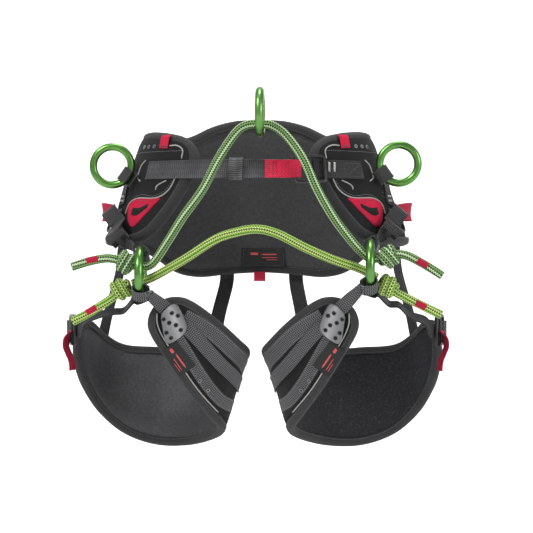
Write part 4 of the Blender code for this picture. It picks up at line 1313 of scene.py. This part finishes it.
# ---------------------------------------------------------------- buckles
def rod(points, wide, thick, normal, closed=False, steps=14):
    """A bar of rounded rectangular section along points lying in a plane of that normal."""
    points = np.array(points, float)
    n = unit(normal)
    if closed:
        tangents = unit_rows(np.roll(points, -1, 0) - np.roll(points, 1, 0))
    else:
        tangents = unit_rows(np.gradient(points, axis=0))
    a = np.linspace(0, 2 * math.pi, steps, False) + math.pi / steps
    power = 0.45
    c, s = np.cos(a), np.sin(a)
    x = np.sign(c) * np.abs(c)**power * wide / 2
    y = np.sign(s) * np.abs(s)**power * thick / 2
    sides = np.cross(n, tangents)
    rings = points[:, None] + sides[:, None] * x[None, :, None] + n * y[None, :, None]
    return swept(rings, loop=closed, caps=not closed)


def rounded_rectangle(half_w, half_h, radius, per_corner=7):
    spots = []
    for cx, cy, start in ((half_w - radius, half_h - radius, 0), (radius - half_w, half_h - radius, 90),
                          (radius - half_w, radius - half_h, 180), (half_w - radius, radius - half_h, 270)):
        for k in range(per_corner):
            a = math.radians(start + 90 * k / (per_corner - 1))
            spots.append((cx + radius * math.cos(a), cy + radius * math.sin(a)))
    return spots


def frame_buckle(name, node, centre, across, up, half_w, half_h, thick, body, upright=True):
    """A ladder buckle: a rounded frame with a middle bar and a ridged sliding bar."""
    u, v = unit(across), unit(up)
    n = np.cross(u, v)
    centre = np.array(centre, float)
    bar = 4.0
    path = [centre + u * x + v * y for x, y in rounded_rectangle(half_w - bar / 2, half_h - bar / 2, 3.5)]
    parts = [rod(path, bar, thick, n, closed=True)]
    long, short = (v, u) if upright else (u, v)
    reach = (half_h if upright else half_w) - bar / 2
    parts.append(rod([centre + long * k for k in np.linspace(-reach, reach, 8)], bar + 0.6, thick, n))
    ridged = []
    for k in np.linspace(-reach + 1, reach - 1, 40):
        ridged.append(centre + long * k + short * 0.0 + n * (thick * 0.42))
    shaped = rod(ridged, 3.2, 2.4, n)
    points = np.array(shaped[0]).reshape(len(ridged), -1, 3)
    for i, ring in enumerate(points):
        ring[:] = ring.mean(axis=0) + (ring - ring.mean(axis=0)) * (1.0 if i % 2 else 0.82)
    parts.append((points.reshape(-1, 3), shaped[1], shaped[2]))
    vertices, faces, uvs = merged(parts)
    return make_piece(name, vertices, faces, BLACK_METAL, body, uvs, node, "black_metal", sharp=40)


# ---------------------------------------------------------------- front belt
def make_belt():
    middle = ON_PANEL + WEBBING / 2
    strap_piece("belt_strap_woven", surface_strap([(-125, BELT_Z), (-150, BELT_Z), (-199, BELT_Z)], middle, 36),
                BELT_WIDTH, BELT_WEB, replaces="belt_strap", slot="grey_webbing")
    strap_piece("belt_anchor_woven", surface_strap([(125, BELT_Z), (138, BELT_Z), (153, BELT_Z)], middle, 12),
                BELT_WIDTH, BLACK_WEB, replaces="belt_anchor_strap", slot="grey_webbing")
    top = ON_PANEL + WEBBING
    for a in (145.6, 142.8):
        spot = waist_point(a, BELT_Z, top)
        thread("waist", "white").zigzag(spot, (0, 0, 1), waist_along(a, BELT_Z), waist_normal(a, BELT_Z, top), 19, 3.4,
                                        1.5, 1.3)
    for sign in (-1, 1):
        for z in (BELT_Z - 8.5, BELT_Z + 8.5):
            thread("waist").row(*waist_line([(126, z), (131, z), (137, z)], top, sign), width=0.6)
        for a in (126, 137):
            thread("waist").row(*waist_line([(a, BELT_Z - 8.5), (a + 0.01, BELT_Z), (a, BELT_Z + 8.5)], top,
                                                    sign), width=0.6)
        for z in (8.5, -8.5):
            thread("waist").row(*waist_line([(126, BELT_Z - z), (131.5, BELT_Z), (137, BELT_Z + z)], top,
                                                    sign), width=0.6)
    spot = waist_point(155.5, BELT_Z, ON_PANEL + WEBBING + 2.9)
    along = -waist_along(155.5, BELT_Z)
    up = np.cross(waist_normal(155.5, BELT_Z, 0), along)
    frame_buckle("belt_buckle_frame", "belt_buckle", spot, along, up, 22, 19, 4.4, "waist")
    tab = surface_strap([(175, BELT_Z), (168, BELT_Z), (164.6, BELT_Z)], ON_PANEL + WEBBING + GAP + 1.0, 8)
    strap_piece("belt_pull_tab_woven", tab, BELT_WIDTH - 1, RED_BRIGHT, 2.0, replaces="belt_pull_tab",
                slot="red_webbing", steps=26)
    fold = [(waist_point(a, BELT_Z, ON_PANEL + WEBBING + GAP + lift), (0, 0, 1)) for a, lift in
            ((170, 3.2), (168, 3.8), (166, 5.6), (164, 7.2), (162, 7.7), (160, 7.8))]
    strap_piece("belt_pull_tab_fold", fold, BELT_WIDTH - 2, RED_BRIGHT, 1.8, steps=26)
    for a in (173.6, 171.6):
        face = ON_PANEL + WEBBING + GAP + 2.0
        for shift in (-6, 0, 6):
            thread("waist").zigzag(waist_point(a, BELT_Z + shift, face), (0, 0, 1), waist_along(a, BELT_Z),
                                   waist_normal(a, BELT_Z, face), 5.0, 2.4, 1.6, 0.7)
    place = waist_point(KEEPER_ANGLE, BELT_Z, middle)
    out = waist_normal(KEEPER_ANGLE, BELT_Z, middle)
    along = waist_along(KEEPER_ANGLE, BELT_Z)
    up = np.cross(along, out)
    ring = [(place + out * x + up * y, along) for x, y in rounded_rectangle(2.7, 14.4, 2.2)]
    strap_piece("belt_keeper_woven", ring + ring[:1], 18, KEEPER_WEB, 1.4, "belt_keeper_body", 60,
                replaces="belt_keeper", slot="grey_webbing")


# ---------------------------------------------------------------- hips
def make_side_ring(side, sign):
    centre = np.array(SIDE_RING[side])
    slant = math.radians(SIDE_LOOP_ANGLE)
    inward = np.array([-sign * math.cos(slant), 0, -math.sin(slant)])
    seat = centre + inward * SIDE_RING_RADIUS
    along = np.array([-sign * math.sin(slant), 0, math.cos(slant)])
    turn = loop_round(seat - inward * 1.4, inward + np.array([0, -1.0, 0]), along,
                      SIDE_RING_TUBE + LOOP_PLAY + WEBBING / 2 + 0.8, 14)
    strap_piece(f"side_ring_webbing_{side}_woven", turn, 20, HIP_WEB, replaces=f"side_ring_webbing_{side}",
                slot="grey_webbing", steps=44)
    down = surface_strap([(sign * 101, 4), (sign * 103, -16), (sign * 106, -36), (sign * 108, -50)],
                         ON_PANEL + WEBBING / 2, 20)
    strap_piece(f"side_anchor_strap_{side}", down, 20, BLACK_WEB, steps=26)
    for z in (-38.0, -44.0):
        a = 106.5 if z > -40 else 107.2
        spot = waist_point(sign * a, z, ON_PANEL + WEBBING)
        thread("waist", "white").zigzag(spot, waist_along(sign * a, z), (0, 0, 1),
                                        waist_normal(sign * a, z, ON_PANEL), 13, 2.8, 1.5, 1.2)


def spiral(centre, axis, radius, turns, thickness, start=0.0):
    """Stations of a strap rolled up round an axis, from its inner end outwards."""
    w = unit(axis)
    e1 = unit(np.cross(w, (0, 1, 0)))
    e2 = np.cross(w, e1)
    stations = []
    for t in np.linspace(0, 1, int(turns * 22)):
        a = 2 * math.pi * turns * t + start
        r = radius - turns * thickness * (1 - t)
        stations.append((np.array(centre, float) + r * (e1 * math.cos(a) + e2 * math.sin(a)), w))
    return stations


def make_hip(side, sign):
    centre = np.array(HIP_RING[side])
    run = surface_strap([(sign * 109, -58), (sign * 112, -70), (sign * 117, centre[2] + 55)],
                        ON_PANEL + WEBBING / 2 + 0.7, 9)
    run.append((waist_point(sign * 124, centre[2] + 45, ON_PANEL + 6.5), run[-1][1]))
    ray = unit((0, 0.62, 0.78))
    stations = looped_run(run, centre + ray * (HIP_RING_RADIUS - 0.6), ray + (0.7 * sign, 0, 0),
                          np.cross(ray, (1, 0, 0)), HIP_RING_TUBE, 17)
    strap_piece(f"hip_strap_{side}_woven", stations, LOOP_WIDTH, HIP_WEB, replaces=f"hip_strap_{side}",
                slot="grey_webbing", steps=90)
    spot = waist_point(sign * 111, -72, ON_PANEL + WEBBING + 3.6)
    up = waist_point(sign * 111, -62, 0) - waist_point(sign * 111, -82, 0)
    along = waist_point(sign * 112, -72, 0) - waist_point(sign * 110, -72, 0)
    frame_buckle(f"hip_adjuster_{side}_frame", f"hip_adjuster_{side}", spot, along, up, 16, 15, 4, "waist", False)
    face = unit(np.cross(along, up))
    face = face if np.dot(face, spot) > 0 else -face
    middle = np.array([sign * 184, -82, -68.0])
    ray, wide = unit((0.64 * sign, 0.12, 0.76)), unit((0.76 * sign, 0.1, -0.64))
    front = np.array([0.25 * sign, -0.97, 0])
    place = np.array([sign * 178, -104, centre[2] + 47])
    over = [(place + ray * y + front * lift, wide) for y, lift in ((-3, 10.2), (3, 10.0), (8.5, 6.5))]
    over += [(middle + ray * y + front * lift, wide) for y, lift in
             ((-9, 7.0), (-3, 4.6), (3, 3.6), (9, 2.4), (14, -0.4), (16, -5))]
    strap_piece(f"hip_adjuster_band_{side}", over, 23, HIP_WEB, 2.0, steps=44)
    tab = [(waist_point(sign * a, z + 5, out), (0.10 * sign, -0.30, 1.0)) for a, z, out in
           ((110, -66, 23), (104.5, -64, 28), (98.5, -63, 32.5), (95, -64, 33), (94, -64.5, 30.5), (96.5, -64.5, 27.5))]
    strap_piece(f"hip_pull_tab_{side}_woven", tab, 24, RED_WEB, 2.0, replaces=f"hip_pull_tab_{side}",
                slot="red_webbing", steps=30)
    axis = (0.76 * sign, 0.1, -0.64)
    strap_piece(f"hip_strap_roll_{side}_wound", spiral(place, axis, 8.4, 2.9, 2.1, 1.0 if sign < 0 else 2.2), 24,
                HIP_WEB, 1.7, replaces=f"hip_strap_roll_{side}", slot="grey_webbing", steps=90)
    tie = spiral(place, axis, 10.1, 1.0, 0.0)
    strap_piece(f"hip_roll_keeper_{side}", tie, 7, ELASTIC_WEB, 1.1, steps=40)


# ---------------------------------------------------------------- back
def make_back():
    us, vs = np.linspace(-0.63, 0.63, 80), np.linspace(0.05, 0.95, 14)
    made = patch(waist_surface, us, vs, PAD_THICKNESS - 0.4, PAD_THICKNESS + 0.75, 0.9)
    make_piece("back_panel_cloth", *made[:2], SHELL, "waist", made[2])
    stations = surface_strap([(-86, -42), (-45, -52), (0, -56), (45, -52), (86, -42)],
                             PANEL_OUT + WEBBING / 2 + 0.3, 36)
    strap_piece("rear_webbing_woven", stations, 44, GREY_WEB, replaces="rear_webbing", slot="grey_webbing", steps=160)
    face = PANEL_OUT + WEBBING + 0.35
    for sign in (-1, 1):
        for drop in (-19.5, 19.5):
            spots = [(2, -56 + drop), (30, -54.5 + drop), (45, -52 + drop), (65, -47 + drop), (84, -42.5 + drop)]
            thread("waist", "grey").row(*waist_line(spots, face, sign), width=0.6)
        for a, z in ((20, -55), (55, -49.5)):
            spot = waist_point(sign * a, z, face)
            thread("waist", "grey").zigzag(spot, (0, 0, 1), waist_along(sign * a, z), waist_normal(sign * a, z, face),
                                           34, 3.0, 1.6, 0.7)
        for shift in (0, 8):
            spots = [(4, 50 - shift), (20, 46 - shift), (40, 28 - shift), (60, 22 - shift), (84, 26 - shift)]
            thread("waist").row(*waist_line(spots, PAD_THICKNESS + 0.75, sign))
        spots = [(8, -100), (24, -104), (40, -100), (56, -88), (84, -80)]
        thread("waist").row(*waist_line(spots, PAD_THICKNESS + 0.75, sign))

    def label(a, v, out):
        return waist_point(a, -131 + v * 25, out)

    made = patch(label, np.linspace(-8.2, 10.2, 16), np.linspace(0, 1, 8), -1.2, -2.0, 0.3)
    make_piece("back_label_cloth", *made[:2], LABEL, "waist", made[2], "back_label", "label")
    sewn = Stitching("back_label_marks", LABEL_RED, "waist")
    for z, low, high, width in ((-113.5, -4.5, -1.0, 3.6), (-114.5, 0.2, 7.0, 1.8), (-119.0, 0.2, 7.0, 1.0),
                                (-122.0, 2.2, 7.0, 0.8)):
        points = np.array([waist_point(a, z, -2.05) for a in np.linspace(low, high, 12)])
        normals = np.array([-waist_normal(a, z, 0) for a in np.linspace(low, high, 12)])
        sewn.row(points, normals, length=lengths_along(points)[-1] - 0.4, gap=0.2, width=width, rise=0.3)
    sewn.done()
    for spots in ([(-7.2, -130), (1, -130.01), (9.2, -130)], [(-7.2, -107), (1, -107.01), (9.2, -107)],
                  [(-7.4, -129), (-7.41, -118), (-7.4, -108)], [(9.4, -129), (9.41, -118), (9.4, -108)]):
        points, normals = waist_line(spots, -2.0)
        thread("waist").row(points, -normals, length=1.8, gap=0.9, width=0.5)
    loop = [((-2, 144, -139), (1, 0, 0)), ((-2, 144.5, -148), (1, 0, 0)), ((-2, 149, -152), (1, 0, 0)),
            ((-2, 153.5, -148), (1, 0, 0)), ((-2, 154, -139), (1, 0, 0))]
    strap_piece("rear_loop_woven", loop, 16, RED_BRIGHT, 1.8, replaces="rear_loop", slot="red_webbing", steps=24)


# ---------------------------------------------------------------- leg loops
ON_LEG = LEG_PAD_THICKNESS + GAP
PLATE_OUT = ON_LEG + WEBBING + 2.2
PLATE_SLANT = 0.25
PLATE_HOLES = [(0.86, 0.20), (0.86, 0.42), (1.06, 0.10), (1.08, 0.32), (1.28, 0.20), (1.30, 0.42), (1.50, 0.14),
               (1.52, 0.36)]


def plate_point(sign):
    def point(s, t, out):
        lift = 1.9 * float(soft_step((0.86 - s) / 0.3))
        return leg_point(s, t + PLATE_SLANT * s, out + lift, sign)
    return point


def leg_line(spots, out, sign, step=2.0):
    """Points and normals along (s, t) spots on a leg pad."""
    rough = np.array([leg_point(s, t, out, sign) for s, t in spots])
    count = max(8, int(lengths_along(rough)[-1] / step))
    fine = smooth_route([(s, t, 0) for s, t in spots], count)
    points = np.array([leg_point(s, t, out, sign) for s, t, _ in fine])
    normals = np.array([leg_point(s, t, out + 1, sign) - leg_point(s, t, out, sign) for s, t, _ in fine])
    return points, normals


def make_plate(side, sign, body):
    """The moulded plate: rounded corners, a raised rim and eight holes that look cut through because each is closed by
    a near-black cup, painted shade.
    """
    point = plate_point(sign)
    ss, ts = np.linspace(0.60, 1.68, 34), np.linspace(0.0, 0.48, 26)

    def rounded(s, t, out):
        cut = rounded_range(s, ss[0], ss[-1], 0.22, 0.3)
        middle = 0.24
        return point(s, middle + (t - middle) * (1 - 2 * cut), out)

    made = patch(rounded, ss, ts, PLATE_OUT, PLATE_OUT + 2.2, 1.2)
    make_piece(f"leg_plate_{side}_moulded", *made[:2], PLATE, body, made[2], f"leg_plate_{side}", "plate")
    holes, rims = [], []
    for s, t in PLATE_HOLES:
        centre = rounded(s, t, PLATE_OUT + 2.2)
        normal = unit(rounded(s, t, PLATE_OUT + 3) - centre)
        e1 = unit(np.cross(normal, (0.2, 0.3, 1)))
        e2 = np.cross(normal, e1)
        # Painted shade: each hole is a near-black cup standing in for the shade inside it.
        rings = [[centre + (e1 * math.cos(a) + e2 * math.sin(a)) * r + normal * rise
                  for a in np.linspace(0, 2 * math.pi, 18, False)] for r, rise in ((2.5, 0.12), (2.1, 0.05), (0.6, 0.0))]
        holes.append(swept(rings))
        rims.append(smooth_torus(centre, normal, 2.75, 0.4, 20, 8))
    vertices, faces, uvs = merged(holes)
    make_piece(f"leg_plate_holes_{side}", vertices, faces, SHELL_SMOOTH, body, uvs, sharp=0)
    vertices, faces, uvs = merged(rims)
    make_piece(f"leg_plate_rims_{side}", vertices, faces, PLATE, body, uvs, sharp=0)


def make_leg(side, sign):
    body = f"leg_loop_{side}"
    ring = np.array(HIP_RING[side])
    surface = leg_surface(sign)
    made = patch(surface, np.concatenate([np.linspace(0.62, 1.4, 10), np.linspace(1.5, 12.62, 110)]),
                 np.linspace(0.10, 0.90, 14), LEG_PAD_THICKNESS - 0.3, LEG_PAD_THICKNESS + 0.7, 0.8)
    make_piece(f"leg_outer_cloth_{side}", *made[:2], SHELL, body, made[2])
    run = [(leg_point(s, 0.42, ON_LEG + WEBBING / 2 + 1.0, sign), leg_across(s, 0.42, sign))
           for s in np.linspace(4.8, 1.0, 12)]
    run.append((leg_point(0.62, 0.45, ON_LEG + 4, sign), leg_across(0.62, 0.45, sign)))
    ray = unit((0, -0.64, -0.77))
    tip = ring + ray * (HIP_RING_RADIUS - 0.6)
    stations = looped_run(run, tip, run[-1][0] - tip, np.cross(ray, (1, 0, 0)), HIP_RING_TUBE, 15)
    strap_piece(f"leg_front_strap_{side}_woven", stations, LOOP_WIDTH, GREY_WEB, body=body,
                replaces=f"leg_front_strap_{side}", slot="grey_webbing", steps=130)
    for name, spots, width in (("upper", [(1.25, 0.30), (2.0, 0.20), (3.0, 0.17), (4.2, 0.20), (5.2, 0.30)], 20),
                               ("lower", [(1.3, 0.62), (2.0, 0.68), (3.0, 0.74), (4.0, 0.76), (5.2, 0.66)], 17)):
        points, normals = leg_line(spots, ON_LEG + 0.55, sign, 2.5)
        band = [(p, np.cross(n, t)) for p, n, t in zip(points, normals, np.gradient(points, axis=0))]
        strap_piece(f"leg_band_{name}_{side}", band, width, GREY_WEB, 0.9, body)
        for edge in (-1, 1):
            line = points + unit_rows(np.array([w for _, w in band])) * edge * (width / 2 - 2.0)
            thread(body, "grey").row(line + unit_rows(normals) * 0.45, normals, length=2.2, gap=1.4, width=0.55)
    make_plate(side, sign, body)
    for t in (0.30, 0.72):
        thread(body).row(*leg_line([(5.6, t), (7.4, t), (9.2, t), (11.0, t), (12.4, t)], LEG_PAD_THICKNESS + 0.75, sign))
    points, _ = leg_line([(0.55, 0.70), (0.9, 0.80), (1.5, 0.85), (2.4, 0.88), (3.4, 0.90), (4.2, 0.90)],
                         LEG_PAD_THICKNESS + 1.3, sign, 1.6)
    vertices, faces, uvs = tube(points, PIPING_RADIUS, 8)
    make_piece(f"leg_piping_{side}", vertices, faces, PIPING, body, uvs, sharp=0)
    for k, (s, t) in enumerate(((3.05, 0.80), (3.45, 0.80))):
        centre, normal = leg_point(s, t, LEG_PAD_THICKNESS + 1.9, sign), None
        normal = leg_point(s, t, LEG_PAD_THICKNESS + 3, sign) - centre
        eyelet(f"leg_eyelet_{side}_{k + 1}", centre, normal, 2.0, body)

    def label(s, t, out):
        return leg_point(s, t, out, sign)

    made = patch(label, np.linspace(1.72, 2.62, 14), np.linspace(0.70, 1.0, 8), LEG_PAD_THICKNESS + 1.7,
                 LEG_PAD_THICKNESS + 2.6, 0.4)
    make_piece(f"leg_label_{side}", *made[:2], LABEL, body, made[2])
    marks = Stitching(f"leg_label_marks_{side}", LABEL_RED, body)
    for s_low, s_high, t, width in ((1.82, 1.98, 0.86, 4.0), (2.04, 2.50, 0.84, 2.2), (2.10, 2.50, 0.91, 1.0),
                                    (2.24, 2.50, 0.945, 0.8)):
        points, normals = leg_line([(s_low, t), ((s_low + s_high) / 2, t), (s_high, t)], LEG_PAD_THICKNESS + 2.65, sign,
                                   1.5)
        marks.row(points, normals, length=lengths_along(points)[-1] - 0.4, gap=0.2, width=width, rise=0.3)
    marks.done()
    make_leg_buckle(side, sign, body, ring)


def make_leg_buckle(side, sign, body, ring):
    place = np.array([-sign * LEG_BUCKLE[0], *LEG_BUCKLE[1:]])
    out = np.array([sign * 0.95, -0.31, 0])
    along = unit((-sign * 0.31, -0.95, 0))
    frame_buckle(f"leg_buckle_{side}_frame", f"leg_buckle_{side}", place, along, (0, 0, 1), 17, 21, 4.4, body)
    under = -out * (2.2 + 0.4 + WEBBING / 2)
    spots = [(-224, -80, -203), (-204, -87, -195)]
    near_ring = [(38, 38, -50), (25, 36, -48)]
    run = [(place + under + along * k, (0, 0, 1)) for k in (-2, 8, 18, 26)]
    run += [(np.array([-sign * x, y, z]), (0, 0.8 + 0.4 * k, 0.7)) for k, (x, y, z) in enumerate(spots)]
    run += [(ring + (sign * x, y, z), (0, 0.95, 0.45)) for x, y, z in near_ring]
    ray = unit((0, 0.55, -0.84))
    stations = looped_run(run, ring + ray * (HIP_RING_RADIUS - 0.6), (0.80 * sign, 0.38, -0.52),
                          np.cross(ray, (1, 0, 0)), HIP_RING_TUBE, 15)
    strap_piece(f"leg_outer_strap_{side}_woven", stations, LOOP_WIDTH, BLACK_WEB, body=body,
                replaces=f"leg_outer_strap_{side}", slot="grey_webbing", steps=110)
    tip = loop_round(place - along * 15, -along, (0, 0, 1), 2.6 + 0.9 + WEBBING / 2, 9)
    strap_piece(f"leg_tip_strap_{side}_woven", tip, 25, GREY_WEB, body=body, replaces=f"leg_tip_strap_{side}",
                slot="grey_webbing", steps=40)
    turned = unit(along * 0.84 + out * 0.54)
    folds = ((3.5, -1, along), (8, -11, turned), (9.5, -21, turned), (6.5, -30, turned), (3.0, -38, turned),
             (1.0, -46, turned), (0.5, -54, turned))
    tab = [(place + out * lift + np.array([0, 0, z]), across) for lift, z, across in folds]
    strap_piece(f"leg_pull_tab_{side}_woven", tab, 21, RED_WEB, 2.0, body=body, replaces=f"leg_pull_tab_{side}",
                slot="red_webbing", steps=40)


def make_rear_straps(side, sign):
    """Elastic straps from the waist pad down to the back of the leg loop."""
    out = PANEL_OUT + WEBBING / 2 + 1.2
    on_leg = LEG_PAD_THICKNESS + GAP + WEBBING / 2 + 1.0

    def on_waist(angle, heights):
        return [(waist_point(sign * angle, z, out), waist_along(sign * angle, z)) for z in heights]

    def round_leg(s, places):
        across = leg_point(s - 0.2, 0, 0, sign) - leg_point(s + 0.2, 0, 0, sign)
        across = across if np.dot(across, (1, 0.2 * sign, 0)) > 0 else -across
        return [(leg_point(s, t, on_leg, sign), across) for t in places]

    path = on_waist(13, (-112, -126, -137))
    path += [((sign * 50, 158, -158), (1, 0, 0)), ((sign * 60, 112, -208), (1, 0, 0))]
    inner = path + round_leg(6.0, (0.04, 0.12, 0.22))
    across = waist_along(sign * 66, 0)
    across = across if across[0] > 0 else -across
    path = [(p, across) for p, _ in on_waist(66, (-84, -97, -108))]
    path += [((sign * 192, 64, -140), across), ((sign * 206, 62, -190), across)]
    outer = path + round_leg(9.9, (0.03, 0.12, 0.24))
    for name, stations in (("inner", inner), ("outer", outer)):
        node = f"rear_{name}_strap_{side}"
        start, end = stations[2][0] * MM, stations[5][0] * MM
        strap_piece(f"{node}_elastic", stations, 20, ELASTIC_WEB, body=None, replaces=node, slot="grey_webbing",
                    steps=70, blend=("waist", f"leg_loop_{side}", tuple(start), tuple(end)))


make_belt()
make_back()
for side_name, side_sign in SIDES:
    make_wing(side_name, side_sign)
    make_side_ring(side_name, side_sign)
    make_hip(side_name, side_sign)
    make_leg(side_name, side_sign)
    make_rear_straps(side_name, side_sign)


for sewn in STITCH.values():
    sewn.done()
